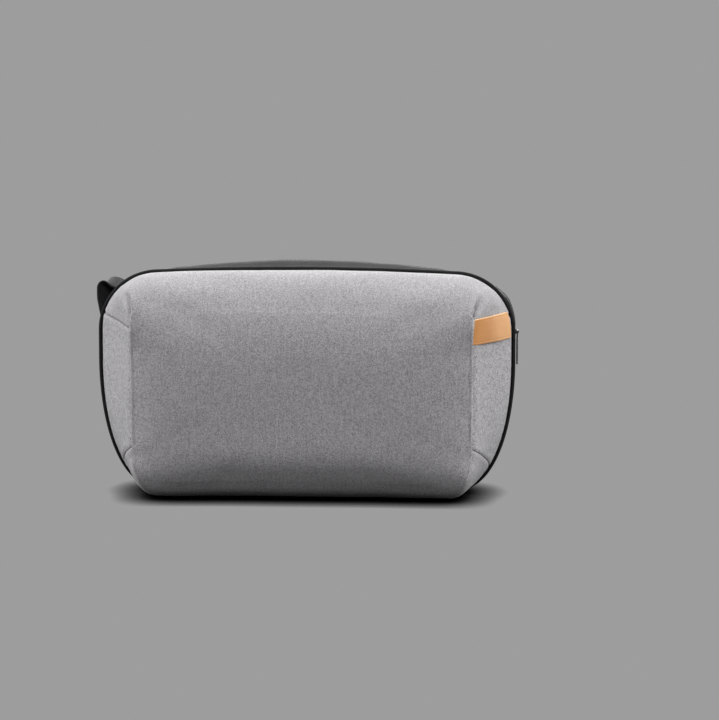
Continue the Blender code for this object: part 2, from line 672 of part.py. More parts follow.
def build_ring_tab(side, label):
    wrap = TAB_RISE + arc((RING_Y, RING_Z), TAB_WRAP_R, -120, 150, 9) + TAB_RETURN
    centres = [Vector((side * RING_X, y, z)) for y, z in wrap]
    ribbon("ring_tab_" + label, centres, [Vector((1, 0, 0))] * len(centres), STRAP_WIDTH,
           1.2 * MM, WEBBING)


def build_shoulder_strap():
    # The strap's end hangs in front of the ring, then the strap passes over the lower bar.
    start = [(RING_Y - STRAP_WRAP_R, RING_LOW_Z - drop) for drop in (13 * MM, 5 * MM)]
    start += arc((RING_Y, RING_LOW_Z), STRAP_WRAP_R, 180, 0, 6)
    path = [(-RING_X, y, z, 0) for y, z in start]
    path += catmull([(x * MM, y * MM, z * MM, turn) for x, y, z, turn in STRAP_FALL], 3)

    centres, across = [], []
    for x, y, z, turn in path:
        angle = math.radians(turn)
        centres.append(Vector((x, y, z)))
        across.append(Vector((math.cos(angle), math.sin(angle), 0)))
    centres += [Vector((-c.x, c.y, c.z)) for c in reversed(centres[:-1])]
    across += [Vector((-w.x, w.y, 0)) for w in reversed(across[:-1])]
    # The width vectors must not flip from one station to the next.
    for i in range(1, len(across)):
        if across[i].dot(across[i - 1]) < 0:
            across[i] = -across[i]
    ribbon("shoulder_strap", centres, across, STRAP_WIDTH, STRAP_THICK, WEBBING)


# ---- adjuster on the straight run of the strap -----------------------------------------------
RUN_Y, RUN_Z = STRAP_FALL[-1][1] * MM, STRAP_FALL[-1][2] * MM
ADJUSTER_X = -40 * MM
ADJUSTER_HALF = Vector((16 * MM, 15 * MM, 3.2 * MM))
SLOT_HALF = Vector((30 * MM, 12.1 * MM, 1.35 * MM))
ADJUSTER_TOP = RUN_Z + 3.2 * MM
PIN = (ADJUSTER_X - 11 * MM, RUN_Y, ADJUSTER_TOP + 2.8 * MM)
PIN_R = 0.95 * MM
PIN_EAR = 2.1 * MM             # the ears reach this far round the pin's centre
LEVER_R = 2.2 * MM
LEVER_HALF_Y = 10.9 * MM


def build_adjuster():
    pin_x, _, pin_z = PIN
    centre = Vector((ADJUSTER_X, RUN_Y, RUN_Z))
    body = box("strap_adjuster", centre - ADJUSTER_HALF, centre + ADJUSTER_HALF, PLASTIC,
               bevel=1.2 * MM, segments=2)
    slot = box("adjuster_slot", centre - SLOT_HALF, centre + SLOT_HALF)
    boolean(body, slot, "DIFFERENCE")
    for i, side in enumerate((-1, 1)):
        y0, y1 = span(side, 11.5 * MM, 13.7 * MM, middle=RUN_Y)
        ear = box(f"adjuster_ear_{i}", (pin_x - PIN_EAR, y0, ADJUSTER_TOP - 1 * MM),
                  (pin_x + PIN_EAR, y1, pin_z + PIN_EAR))
        boolean(body, ear, "UNION")
    boolean(body, y_cylinder("adjuster_pin", PIN, 12.5 * MM, PIN_R), "UNION")


def build_lever():
    pin_x, _, pin_z = PIN
    lever = y_cylinder("adjuster_lever", PIN, LEVER_HALF_Y, LEVER_R, PLASTIC, sides=16)
    plate = box("lever_plate", (pin_x, RUN_Y - LEVER_HALF_Y, pin_z - 0.9 * MM),
                (ADJUSTER_X + 15 * MM, RUN_Y + LEVER_HALF_Y, pin_z + 1.3 * MM),
                bevel=0.5 * MM)
    boolean(lever, plate, "UNION")
    boolean(lever, y_cylinder("lever_hole", PIN, 12 * MM, PIN_R + 0.35 * MM), "DIFFERENCE")


# ---- the whole bag ---------------------------------------------------------------------------
build_front()
build_bands()
build_back()
build_base()
build_inside()
build_sliders()
build_leather_tab()
build_side_loops()
for ring_side, ring_label in SIDES:
    build_ring(ring_side, ring_label)
    build_ring_tab(ring_side, ring_label)
build_shoulder_strap()
build_adjuster()
build_lever()
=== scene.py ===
import math

import bmesh
import bpy
import numpy as np
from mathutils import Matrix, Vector


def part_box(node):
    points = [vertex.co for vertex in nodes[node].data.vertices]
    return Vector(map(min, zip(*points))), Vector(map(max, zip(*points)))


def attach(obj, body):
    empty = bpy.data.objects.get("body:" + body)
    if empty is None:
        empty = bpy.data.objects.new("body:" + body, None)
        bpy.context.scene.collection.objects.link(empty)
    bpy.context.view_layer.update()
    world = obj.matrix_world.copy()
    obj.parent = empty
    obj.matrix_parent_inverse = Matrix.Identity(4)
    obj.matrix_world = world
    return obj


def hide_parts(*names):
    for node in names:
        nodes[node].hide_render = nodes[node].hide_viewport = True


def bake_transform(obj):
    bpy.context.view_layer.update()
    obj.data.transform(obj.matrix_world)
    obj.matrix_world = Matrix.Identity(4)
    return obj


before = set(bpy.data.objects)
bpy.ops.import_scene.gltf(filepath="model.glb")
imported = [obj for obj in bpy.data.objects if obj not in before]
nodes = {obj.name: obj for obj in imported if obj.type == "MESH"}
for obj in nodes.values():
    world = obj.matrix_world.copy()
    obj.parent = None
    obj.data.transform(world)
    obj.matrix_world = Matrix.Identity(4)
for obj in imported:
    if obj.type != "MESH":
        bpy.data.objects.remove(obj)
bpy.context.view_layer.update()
MM = 0.001

# The bag's driving sizes, the same as the CAD's.
HALF_WIDTH, TOP_Z, CROWN_DROP, TOP_RADIUS = 172 * MM, 187.5 * MM, 3 * MM, 50 * MM
CORNER_X, CORNER_Z = HALF_WIDTH - TOP_RADIUS, TOP_Z - CROWN_DROP - TOP_RADIUS
LOW_CURVE_X, LOW_CURVE_Z, BOTTOM_Z = 48 * MM, 110 * MM, 2.2 * MM
FRONT_DEPTH, SEAM_DEPTH, FACE_HALF, FACE_CORNER = 60 * MM, 52 * MM, 138.9 * MM, 6 * MM
TOP_ROLL, LOW_ROLL, BACK_DEPTH = 87.5 * MM, 46 * MM, 45 * MM
HINGE_Y, HINGE_Z, ZIP_END_Z = -50 * MM, 4 * MM, 45 * MM
ROLL_POWER = 2.85


# ===================================================================================================================
# Materials
# ===================================================================================================================
class Graph:
    """Short names for building a node tree."""

    def __init__(self, name):
        self.mat = bpy.data.materials.new(name)
        self.mat.use_nodes = True
        self.t = self.mat.node_tree
        self.bsdf = self.t.nodes["Principled BSDF"]

    def node(self, kind, **props):
        n = self.t.nodes.new(kind)
        for k, v in props.items():
            setattr(n, k, v)
        return n

    def put(self, socket, value):
        if isinstance(value, bpy.types.NodeSocket):
            self.t.links.new(value, socket)
        elif value is not None:
            socket.default_value = value

    def math(self, op, a, b=None, c=None, clamp=False):
        n = self.node("ShaderNodeMath", operation=op, use_clamp=clamp)
        for i, v in enumerate((a, b, c)):
            self.put(n.inputs[i], v)
        return n.outputs[0]

    def mix(self, f, a, b):
        n = self.node("ShaderNodeMix", data_type="RGBA", clamp_factor=True)
        self.put(n.inputs[0], f)
        for i, v in ((6, a), (7, b)):
            self.put(n.inputs[i], (*v, 1.0) if isinstance(v, tuple) and len(v) == 3 else v)
        return n.outputs[2]

    def blend(self, f, a, b):
        n = self.node("ShaderNodeMix", data_type="FLOAT", clamp_factor=True)
        for i, v in ((0, f), (2, a), (3, b)):
            self.put(n.inputs[i], v)
        return n.outputs[0]

    def remap(self, v, a, b, c=0.0, d=1.0):
        n = self.node("ShaderNodeMapRange", clamp=True)
        for i, x in enumerate((v, a, b, c, d)):
            self.put(n.inputs[i], x)
        return n.outputs[0]

    def vec(self, x, y, z=0.0):
        n = self.node("ShaderNodeCombineXYZ")
        for i, v in enumerate((x, y, z)):
            self.put(n.inputs[i], v)
        return n.outputs[0]

    def split(self, v):
        n = self.node("ShaderNodeSeparateXYZ")
        self.put(n.inputs[0], v)
        return n.outputs

    def uv(self):
        return self.node("ShaderNodeUVMap", uv_map="UVMap").outputs[0]

    def obj(self):
        return self.node("ShaderNodeTexCoord").outputs["Object"]

    def noise(self, v, scale, detail=3.0, rough=0.55):
        n = self.node("ShaderNodeTexNoise")
        self.put(n.inputs["Vector"], v)
        n.inputs["Scale"].default_value = scale
        n.inputs["Detail"].default_value = detail
        n.inputs["Roughness"].default_value = rough
        return n.outputs["Fac"]

    def cells(self, v, scale, feature="F1", out="Distance", rand=1.0):
        n = self.node("ShaderNodeTexVoronoi", feature=feature)
        self.put(n.inputs["Vector"], v)
        n.inputs["Scale"].default_value = scale
        n.inputs["Randomness"].default_value = rand
        return n.outputs[out]

    def white(self, v):
        n = self.node("ShaderNodeTexWhiteNoise", noise_dimensions="3D")
        self.put(n.inputs[0], v)
        return n.outputs["Value"]

    def stretch(self, v, sx, sy, sz=1.0):
        n = self.node("ShaderNodeMapping")
        self.put(n.inputs["Vector"], v)
        n.inputs["Scale"].default_value = (sx, sy, sz)
        return n.outputs[0]

    def bump(self, height, distance, strength=1.0, normal=None):
        n = self.node("ShaderNodeBump")
        n.inputs["Strength"].default_value = strength
        n.inputs["Distance"].default_value = distance
        self.put(n.inputs["Height"], height)
        if normal is not None:
            self.put(n.inputs["Normal"], normal)
        return n.outputs[0]

    def done(self, color=None, rough=None, normal=None, metallic=None, sheen=None, sheen_rough=0.5, spec=None, coat=None):
        b = self.bsdf.inputs
        self.put(b["Base Color"], (*color, 1.0) if isinstance(color, tuple) and len(color) == 3 else color)
        self.put(b["Roughness"], rough)
        if normal is not None:
            self.put(b["Normal"], normal)
        if metallic is not None:
            self.put(b["Metallic"], metallic)
        if sheen is not None:
            b["Sheen Weight"].default_value = sheen
            b["Sheen Roughness"].default_value = sheen_rough
        if spec is not None:
            b["Specular IOR Level"].default_value = spec
        if coat is not None:
            b["Coat Weight"].default_value = coat
            b["Coat Roughness"].default_value = 0.3
        return self.mat


def weave(g, pitch, yarn=6.0, ratio=1.0):
    """A plain weave from the UV map in metres.  Returns (height 0..1, per-fleck random 0..1, 0 or 1 for warp over weft)."""
    u, v, _ = g.split(g.uv())
    # threads wander a little, so that the grid isn't ruled
    warp_n = g.noise(g.uv(), 60.0, 1.0)
    u = g.math("ADD", g.math("DIVIDE", u, pitch), g.math("MULTIPLY", g.math("SUBTRACT", warp_n, 0.5), 1.2))
    v = g.math("ADD", g.math("DIVIDE", v, pitch * ratio), g.math("MULTIPLY", g.math("SUBTRACT", warp_n, 0.5), -1.1))
    iu, iv = g.math("FLOOR", u), g.math("FLOOR", v)
    fu, fv = g.math("SUBTRACT", u, iu), g.math("SUBTRACT", v, iv)
    over = g.math("GREATER_THAN", g.math("FRACT", g.math("MULTIPLY", g.math("ADD", iu, iv), 0.5)), 0.25)
    hu = g.math("SINE", g.math("MULTIPLY", fu, math.pi))
    hv = g.math("SINE", g.math("MULTIPLY", fv, math.pi))
    warp_h = g.math("MULTIPLY", g.math("POWER", hu, 0.6), g.math("ADD", 0.55, g.math("MULTIPLY", hv, 0.45)))
    weft_h = g.math("MULTIPLY", g.math("POWER", hv, 0.6), g.math("ADD", 0.55, g.math("MULTIPLY", hu, 0.45)))
    height = g.blend(over, weft_h, warp_h)
    # a melange yarn changes shade every few crossings, along its own direction
    offset_u = g.math("MULTIPLY", g.white(g.vec(iu, 3.1, 0.0)), yarn)
    offset_v = g.math("MULTIPLY", g.white(g.vec(7.7, iv, 0.0)), yarn)
    fleck_warp = g.white(g.vec(iu, g.math("FLOOR", g.math("DIVIDE", g.math("ADD", iv, offset_u), yarn)), 1.0))
    fleck_weft = g.white(g.vec(g.math("FLOOR", g.math("DIVIDE", g.math("ADD", iu, offset_v), yarn)), iv, 2.0))
    fleck = g.blend(over, fleck_weft, fleck_warp)
    return height, fleck, over


def heather_fabric(name="heather_fabric", lift=1.0):
    g = Graph(name)
    height, fleck, over = weave(g, 0.62 * MM, 1.8)
    grain = g.white(g.stretch(g.uv(), 2600, 2600))
    fine = g.noise(g.stretch(g.uv(), 1.0, 0.42), 1150.0, 1.0)
    streak = g.noise(g.stretch(g.uv(), 1.0, 0.10), 620.0, 1.0)
    shade = g.math("ADD", g.math("MULTIPLY", fleck, 0.60), g.math("MULTIPLY", fine, 0.40))
    shade = g.math("ADD", shade, g.math("MULTIPLY", g.math("SUBTRACT", streak, 0.5), 0.30))
    # darker where the weave is low: painted shade in the hollows between the yarns
    shade = g.math("SUBTRACT", shade, g.math("MULTIPLY", g.math("SUBTRACT", 1.0, height), 0.20))
    shade = g.remap(shade, 0.02, 0.88)
    # lift scales the whole colour; above 1 it is a lighter copy of the fabric, a painted highlight, used for the seam
    # lip
    color = g.mix(shade, (0.185 * lift, 0.179 * lift, 0.187 * lift), (0.560 * lift, 0.545 * lift, 0.562 * lift))
    rough = g.remap(fleck, 0.0, 1.0, 0.82, 0.95)
    normal = g.bump(g.math("ADD", height, g.math("MULTIPLY", grain, 0.12)), 0.22 * MM, 0.8)
    return g.done(color, rough, normal, sheen=0.25, sheen_rough=0.55, spec=0.25)


def black_fabric(name="black_fabric", pitch=0.62 * MM, low=0.015, high=0.040, sheen=0.05):
    g = Graph(name)
    height, fleck, over = weave(g, pitch, 8.0)
    # the colour follows the weave height, which is painted shade in the hollows between the yarns, and the yarn flecks,
    # which are real tone
    shade = g.math("ADD", g.math("MULTIPLY", height, 0.6), g.math("MULTIPLY", fleck, 0.4))
    color = g.mix(shade, (low, low, low * 1.04), (high, high, high * 1.04))
    dust = g.noise(g.obj(), 40.0, 4.0)
    color = g.mix(g.remap(dust, 0.5, 0.75, 0.0, 0.25), color, (high * 1.5, high * 1.5, high * 1.5))
    rough = g.remap(height, 0.0, 1.0, 0.85, 0.62)
    normal = g.bump(height, 0.18 * MM, 0.8)
    return g.done(color, rough, normal, sheen=sheen, sheen_rough=0.45, spec=0.16)


def webbing(name="webbing", low=0.006, high=0.022):
    """Ribbed strap webbing: chevron ribs across the width, from UV in metres with u across and v along."""
    g = Graph(name)
    u, v, _ = g.split(g.uv())
    chevron = g.math("ABSOLUTE", g.math("SUBTRACT", g.math("FRACT", g.math("DIVIDE", u, 5.6 * MM)), 0.5))
    along = g.math("ADD", g.math("DIVIDE", v, 1.35 * MM), g.math("MULTIPLY", chevron, 3.4))
    fr = g.math("FRACT", along)
    rib = g.math("POWER", g.math("SINE", g.math("MULTIPLY", fr, math.pi)), 0.7)
    fine = g.math("SINE", g.math("MULTIPLY", g.math("FRACT", g.math("DIVIDE", u, 0.8 * MM)), math.pi))
    height = g.math("ADD", g.math("MULTIPLY", rib, 0.7), g.math("MULTIPLY", fine, 0.3))
    # lighter on the ribs and darker in the grooves between them: painted shade, over random tone from the noise
    shade = g.math("ADD", g.math("MULTIPLY", height, 0.75), g.math("MULTIPLY", g.noise(g.obj(), 700.0, 2.0), 0.35))
    color = g.mix(g.remap(shade, 0.1, 1.0), (low, low, low), (high, high, high * 1.05))
    normal = g.bump(height, 0.28 * MM, 0.9)
    return g.done(color, g.remap(height, 0, 1, 0.85, 0.62), normal, sheen=0.06, spec=0.22)


def trim_cord(name="piping_cover"):
    g = Graph(name)
    u, v, _ = g.split(g.uv())
    twist = g.math("FRACT", g.math("ADD", g.math("DIVIDE", u, 1.1 * MM), g.math("DIVIDE", v, 1.1 * MM)))
    rib = g.math("SINE", g.math("MULTIPLY", twist, math.pi))
    worn = g.noise(g.obj(), 90.0, 3.0)
    # darker in the grooves of the twist: painted shade, with random wear from the noise
    color = g.mix(g.math("MULTIPLY", rib, g.remap(worn, 0.3, 0.7, 0.5, 1.0)), (0.004, 0.004, 0.0045), (0.016, 0.016, 0.017))
    normal = g.bump(rib, 0.12 * MM, 0.7)
    return g.done(color, g.remap(worn, 0.3, 0.7, 0.62, 0.8), normal, sheen=0.02, spec=0.14)


def leather():
    g = Graph("tan_leather")
    o = g.obj()
    pores = g.cells(o, 2100.0, "SMOOTH_F1")
    crease = g.cells(g.stretch(o, 1, 1, 1.3), 950.0, "DISTANCE_TO_EDGE")
    mottling = g.noise(o, 70.0, 5.0, 0.6)
    streak = g.noise(g.stretch(o, 1.0, 1.0, 6.0), 60.0, 3.0)
    color = g.mix(g.remap(mottling, 0.3, 0.72), (0.545, 0.262, 0.108), (0.680, 0.365, 0.170))
    color = g.mix(g.remap(streak, 0.45, 0.8, 0.0, 0.35), color, (0.50, 0.225, 0.085))
    color = g.mix(g.remap(crease, 0.0, 0.12, 0.35, 0.0), color, (0.36, 0.150, 0.055))
    along, _, _ = g.split(g.uv())
    color = g.mix(g.remap(along, 0.0, 30 * MM, 0.85, 0.10), color, (0.530, 0.222, 0.052))
    color = g.mix(g.remap(along, 22 * MM, 52 * MM, 0.0, 0.50), color, (0.740, 0.440, 0.215))
    edge = g.node("ShaderNodeVertexColor", layer_name="edge")
    color = g.mix(edge.outputs[0], color, (0.80, 0.56, 0.34))
    height = g.math("ADD", g.math("MULTIPLY", g.remap(crease, 0.0, 0.2), 0.7), g.math("MULTIPLY", pores, 0.4))
    normal = g.bump(height, 0.10 * MM, 0.55)
    return g.done(color, g.remap(mottling, 0.3, 0.7, 0.42, 0.60), normal, spec=0.45, coat=0.06)


def brushed_lining(name="loop_lining", low=(0.060, 0.061, 0.066), high=(0.135, 0.137, 0.145)):
    g = Graph(name)
    o = g.obj()
    loops = g.cells(o, 1300.0, "F1")
    nap = g.noise(o, 420.0, 4.0, 0.7)
    soft = g.noise(o, 30.0, 3.0)
    shade = g.math("ADD", g.math("MULTIPLY", g.remap(loops, 0.0, 0.7), 0.45), g.math("MULTIPLY", nap, 0.6))
    color = g.mix(g.remap(shade, 0.25, 0.85), low, high)
    color = g.mix(g.remap(soft, 0.4, 0.75, 0.0, 0.25), color, tuple(1.5 * c for c in high))
    normal = g.bump(shade, 0.35 * MM, 0.7)
    return g.done(color, 0.95, normal, sheen=0.6, sheen_rough=0.4, spec=0.15)


def air_mesh():
    """Spacer mesh: round holes in staggered rows over a darker backing, with painted shade inside the holes, from UV in
    metres.
    """
    g = Graph("air_mesh")
    holes = g.cells(g.stretch(g.uv(), 1.0, 1.0), 420.0, "F1", rand=0.12)
    open_ = g.remap(holes, 0.18, 0.36)
    nap = g.noise(g.obj(), 800.0, 2.0)
    color = g.mix(open_, (0.004, 0.004, 0.004), (0.040, 0.040, 0.042))
    color = g.mix(g.math("MULTIPLY", g.remap(nap, 0.4, 0.8), 0.4), color, (0.07, 0.07, 0.072))
    normal = g.bump(open_, 0.9 * MM, 0.9)
    return g.done(color, g.blend(open_, 1.0, 0.72), normal, sheen=0.35, spec=0.25)


def metal(name="zip_metal", base=(0.030, 0.030, 0.032), worn=(0.32, 0.31, 0.30)):
    g = Graph(name)
    o = g.obj()
    scratch = g.noise(g.stretch(o, 1, 1, 9), 260.0, 4.0, 0.7)
    geo = g.node("ShaderNodeNewGeometry")
    edge = g.remap(geo.outputs["Pointiness"], 0.52, 0.60)
    wear = g.math("MULTIPLY", edge, g.remap(scratch, 0.4, 0.7))
    color = g.mix(wear, base, worn)
    normal = g.bump(scratch, 0.03 * MM, 0.5)
    return g.done(color, g.remap(scratch, 0.3, 0.7, 0.28, 0.48), normal, metallic=0.85)


def plastic(name="moulded_plastic", base=(0.012, 0.012, 0.0125)):
    g = Graph(name)
    o = g.obj()
    spark = g.cells(o, 2600.0, "F1")
    cloud = g.noise(o, 60.0, 4.0)
    color = g.mix(g.remap(cloud, 0.3, 0.7), base, tuple(c * 2.0 for c in base))
    normal = g.bump(spark, 0.05 * MM, 0.6)
    return g.done(color, g.remap(cloud, 0.3, 0.7, 0.38, 0.55), normal, spec=0.5)


def thread(name, rgb):
    g = Graph(name)
    n = g.noise(g.stretch(g.obj(), 1, 1, 1), 1500.0, 2.0)
    color = g.mix(n, tuple(0.7 * c for c in rgb), rgb)
    return g.done(color, 0.7, g.bump(n, 0.05 * MM, 0.6), sheen=0.3)


def twill_gusset():
    """The side panels: the same melange yarns in a diagonal twill."""
    g = Graph("heather_twill")
    u, v, _ = g.split(g.uv())
    diag = g.math("FRACT", g.math("DIVIDE", g.math("ADD", u, g.math("MULTIPLY", v, 0.85)), 1.9 * MM))
    rib = g.math("SINE", g.math("MULTIPLY", diag, math.pi))
    height, fleck, over = weave(g, 0.62 * MM, 1.8)
    fine = g.noise(g.stretch(g.uv(), 1.0, 0.45), 1150.0, 1.0)
    streak = g.noise(g.stretch(g.uv(), 1.0, 0.30), 620.0, 1.0)
    shade = g.math("ADD", g.math("MULTIPLY", fleck, 0.56), g.math("MULTIPLY", fine, 0.40))
    shade = g.math("ADD", shade, g.math("MULTIPLY", g.math("SUBTRACT", streak, 0.5), 0.42))
    shade = g.math("ADD", shade, g.math("MULTIPLY", rib, 0.10))
    # darker where the weave is low: painted shade in the hollows between the yarns
    shade = g.math("SUBTRACT", shade, g.math("MULTIPLY", g.math("SUBTRACT", 1.0, height), 0.14))
    color = g.mix(g.remap(shade, 0.14, 0.92), (0.150, 0.145, 0.153), (0.585, 0.572, 0.585))
    normal = g.bump(g.math("ADD", g.math("MULTIPLY", height, 0.5), rib), 0.20 * MM, 0.8)
    return g.done(color, g.remap(fleck, 0.0, 1.0, 0.82, 0.95), normal, sheen=0.25, sheen_rough=0.55, spec=0.25)


def pressed_board():
    g = Graph("base_board")
    o = g.obj()
    fibres = g.noise(g.stretch(o, 1, 6, 6), 160.0, 5.0, 0.7)
    color = g.mix(g.remap(fibres, 0.3, 0.75), (0.05, 0.05, 0.052), (0.11, 0.11, 0.112))
    return g.done(color, g.remap(fibres, 0.3, 0.7, 0.55, 0.75), g.bump(fibres, 0.08 * MM, 0.6), spec=0.35)


def open_mesh():
    """The door pocket's knitted mesh: small diamond openings over the lining."""
    g = Graph("pocket_mesh")
    u, v, _ = g.split(g.uv())
    a = g.math("SINE", g.math("MULTIPLY", g.math("FRACT", g.math("DIVIDE", g.math("ADD", u, v), 2.2 * MM)), math.pi))
    b = g.math("SINE", g.math("MULTIPLY", g.math("FRACT", g.math("DIVIDE", g.math("SUBTRACT", u, v), 2.2 * MM)), math.pi))
    hole = g.remap(g.math("MULTIPLY", a, b), 0.35, 0.62)
    nap = g.noise(g.obj(), 900.0, 2.0)
    # the openings are painted near black: painted shade behind the mesh, darker than the lining there
    color = g.mix(hole, g.mix(nap, (0.045, 0.045, 0.047), (0.085, 0.085, 0.088)), (0.012, 0.012, 0.013))
    return g.done(color, g.blend(hole, 0.7, 0.95), g.bump(g.math("SUBTRACT", 1.0, hole), 0.35 * MM, 0.9), sheen=0.3, spec=0.3)


def coated_base():
    g = Graph("coated_base")
    o = g.obj()
    grain = g.cells(o, 700.0, "DISTANCE_TO_EDGE")
    scuff = g.noise(g.stretch(o, 1, 4, 4), 50.0, 5.0, 0.7)
    color = g.mix(g.remap(scuff, 0.5, 0.75), (0.012, 0.012, 0.012), (0.055, 0.054, 0.052))
    return g.done(color, g.remap(scuff, 0.3, 0.7, 0.5, 0.8), g.bump(g.remap(grain, 0.0, 0.15), 0.18 * MM, 0.7), spec=0.4)


M = {
    "gusset": twill_gusset(), "board": pressed_board(), "pocket_mesh": open_mesh(), "rubber": coated_base(),
    "thread_grey_dark": thread("thread_dark_grey", (0.10, 0.10, 0.105)),
    # The seam lip's material is the heather made 1.32 times lighter: a painted highlight along the lip.
    "heather": heather_fabric(), "seam_lip_painted_highlight": heather_fabric("seam_lip_painted_highlight", 1.32), "black": black_fabric(), "webbing": webbing(), "piping": trim_cord(),
    "leather": leather(), "lining": brushed_lining(), "mesh": air_mesh(), "metal": metal(), "plastic": plastic(),
    "tape": webbing("zip_tape_weave", 0.006, 0.016), "thread_black": thread("thread_black", (0.03, 0.03, 0.032)),
    "thread_grey": thread("thread_grey", (0.42, 0.41, 0.42)), "thread_tan": thread("thread_tan", (0.72, 0.50, 0.28)),
    "binding": webbing("binding_tape", 0.010, 0.030), "coil": plastic("zip_coil", (0.010, 0.010, 0.011)),
    "pad_face": black_fabric("divider_face", 0.9 * MM, 0.05, 0.11, 0.5),
}


# ===================================================================================================================
# Mesh helpers
# ===================================================================================================================
def new_object(name, verts, faces, mat, uvs=None, smooth=True):
    mesh = bpy.data.meshes.new(name)
    mesh.from_pydata([tuple(map(float, v)) for v in verts], [], [tuple(map(int, f)) for f in faces])
    mesh.update()
    if uvs is not None:
        layer = mesh.uv_layers.new(name="UVMap")
        flat = np.asarray(uvs, np.float32)
        idx = np.empty(len(mesh.loops), np.int32)
        mesh.loops.foreach_get("vertex_index", idx)
        layer.data.foreach_set("uv", flat[idx].ravel())
    if smooth:
        mesh.shade_smooth()
    if mat:
        mesh.materials.append(mat)
    obj = bpy.data.objects.new(name, mesh)
    bpy.context.scene.collection.objects.link(obj)
    return obj


def bake(obj):
    """Applies every modifier of obj."""
    dg = bpy.context.evaluated_depsgraph_get()
    dg.update()
    mesh = bpy.data.meshes.new_from_object(obj.evaluated_get(dg), preserve_all_data_layers=True, depsgraph=dg)
    old = obj.data
    obj.modifiers.clear()
    obj.data = mesh
    bpy.data.meshes.remove(old)
    return obj


def add_mod(obj, kind, **props):
    m = obj.modifiers.new(kind.lower(), kind)
    for k, v in props.items():
        setattr(m, k, v)
    return m


def join(name, parts, mat=None):
    """One object from several (verts, faces, uvs) triples."""
    verts, faces, uvs, base = [], [], [], 0
    for v, f, u in parts:
        verts.append(np.asarray(v, float))
        faces += [tuple(int(i) + base for i in face) for face in f]
        uvs.append(np.asarray(u, float) if u is not None else np.zeros((len(v), 2)))
        base += len(v)
    return new_object(name, np.concatenate(verts), faces, mat, np.concatenate(uvs))


def grid_faces(rows, cols, wrap_cols=False, wrap_rows=False, base=0):
    faces = []
    for j in range(rows if wrap_rows else rows - 1):
        for i in range(cols if wrap_cols else cols - 1):
            a, b = base + j * cols + i, base + j * cols + (i + 1) % cols
            c, d = base + ((j + 1) % rows) * cols + (i + 1) % cols, base + ((j + 1) % rows) * cols + i
            faces.append((a, b, c, d))
    return faces


def value_noise(p, scale, seed=0.0, octaves=2):
    """Smooth noise in -1..1 at an array of points, cheap and the same each run."""
    from mathutils import noise
    out = np.empty(len(p))
    for k, q in enumerate(p):
        out[k] = noise.fractal(Vector((q[0] * scale + seed, q[1] * scale - seed, q[2] * scale + 2 * seed)), 1.0, 2.0, octaves)
    return out


def frames_along(centres, across, closed=False):
    """Unit width and face vectors at each centre, from a rough width direction."""
    c = np.asarray(centres, float)
    if closed:
        t = np.roll(c, -1, 0) - np.roll(c, 1, 0)
    else:
        t = np.gradient(c, axis=0)
    t /= np.linalg.norm(t, axis=1)[:, None]
    w = np.asarray(across, float)
    w = w - t * (w * t).sum(1)[:, None]
    w /= np.linalg.norm(w, axis=1)[:, None]
    return w, np.cross(t, w), t


def flat_ribbon(centres, across, width, thick, sides=7, crown=0.0, edge=0.45, closed=False):
    """(verts, faces, uvs) of a strap: a flat cross section with rounded selvedges.  u runs across, v along, in metres."""
    w, f, _ = frames_along(centres, across, closed)
    c = np.asarray(centres, float)
    half = thick / 2
    xs = np.linspace(-1, 1, sides)
    prof = [(x * (width / 2 - half * 0.8), half + crown * (1 - x * x)) for x in xs]
    prof += [(width / 2 - half * 0.1, half * 0.55), (width / 2, 0.0), (width / 2 - half * 0.1, -half * 0.55)]
    prof += [(x * (width / 2 - half * 0.8), -half + crown * (1 - x * x)) for x in xs[::-1]]
    prof += [(-width / 2 + half * 0.1, -half * 0.55), (-width / 2, 0.0), (-width / 2 + half * 0.1, half * 0.55)]
    n = len(prof)
    along = np.r_[0, np.cumsum(np.linalg.norm(np.diff(c, axis=0), axis=1))]
    verts, uvs = [], []
    for k in range(len(c)):
        for a, b in prof:
            verts.append(c[k] + w[k] * a + f[k] * b)
            uvs.append((a, along[k]))
    faces = grid_faces(len(c), n, wrap_cols=True, wrap_rows=closed)
    if not closed:
        faces += [tuple(range(n))[::-1], tuple(range((len(c) - 1) * n, len(c) * n))]
    return verts, faces, uvs


def round_tube(centres, radius, sides=12, closed=False, squash=(1.0, 1.0), across=None):
    c = np.asarray(centres, float)
    if across is None:
        t = np.gradient(c, axis=0)
        ref = np.array([0, 1, 0]) if abs(t[:, 1]).max() < 0.9 * np.linalg.norm(t, axis=1).max() else np.array([1, 0, 0])
        across = np.repeat(ref[None, :], len(c), 0)
    w, f, _ = frames_along(c, across, closed)
    a = np.linspace(0, 2 * math.pi, sides, endpoint=False)
    rad = np.broadcast_to(np.asarray(radius, float), (len(c),))
    along = np.r_[0, np.cumsum(np.linalg.norm(np.diff(c, axis=0), axis=1))]
    verts, uvs = [], []
    for k in range(len(c)):
        for q in a:
            verts.append(c[k] + rad[k] * (math.cos(q) * squash[0] * w[k] + math.sin(q) * squash[1] * f[k]))
            uvs.append((q * rad[k], along[k]))
    faces = grid_faces(len(c), sides, wrap_cols=True, wrap_rows=closed)
    if not closed:
        faces += [tuple(range(sides))[::-1], tuple(range((len(c) - 1) * sides, len(c) * sides))]
    return verts, faces, uvs


def path_points(path, pitch, start=0.0, end=None):
    """Points at an even pitch along a polyline, with tangents."""
    c = np.asarray(path, float)
    s = np.r_[0, np.cumsum(np.linalg.norm(np.diff(c, axis=0), axis=1))]
    end = s[-1] if end is None else end
    count = max(2, int((end - start) / pitch))
    at = start + (np.arange(count) + 0.5) * (end - start) / count
    p = np.stack([np.interp(at, s, c[:, k]) for k in range(3)], 1)
    q = np.stack([np.interp(at + 1e-4, s, c[:, k]) for k in range(3)], 1)
    r = np.stack([np.interp(at - 1e-4, s, c[:, k]) for k in range(3)], 1)
    t = q - r
    return p, t / np.linalg.norm(t, axis=1)[:, None], at


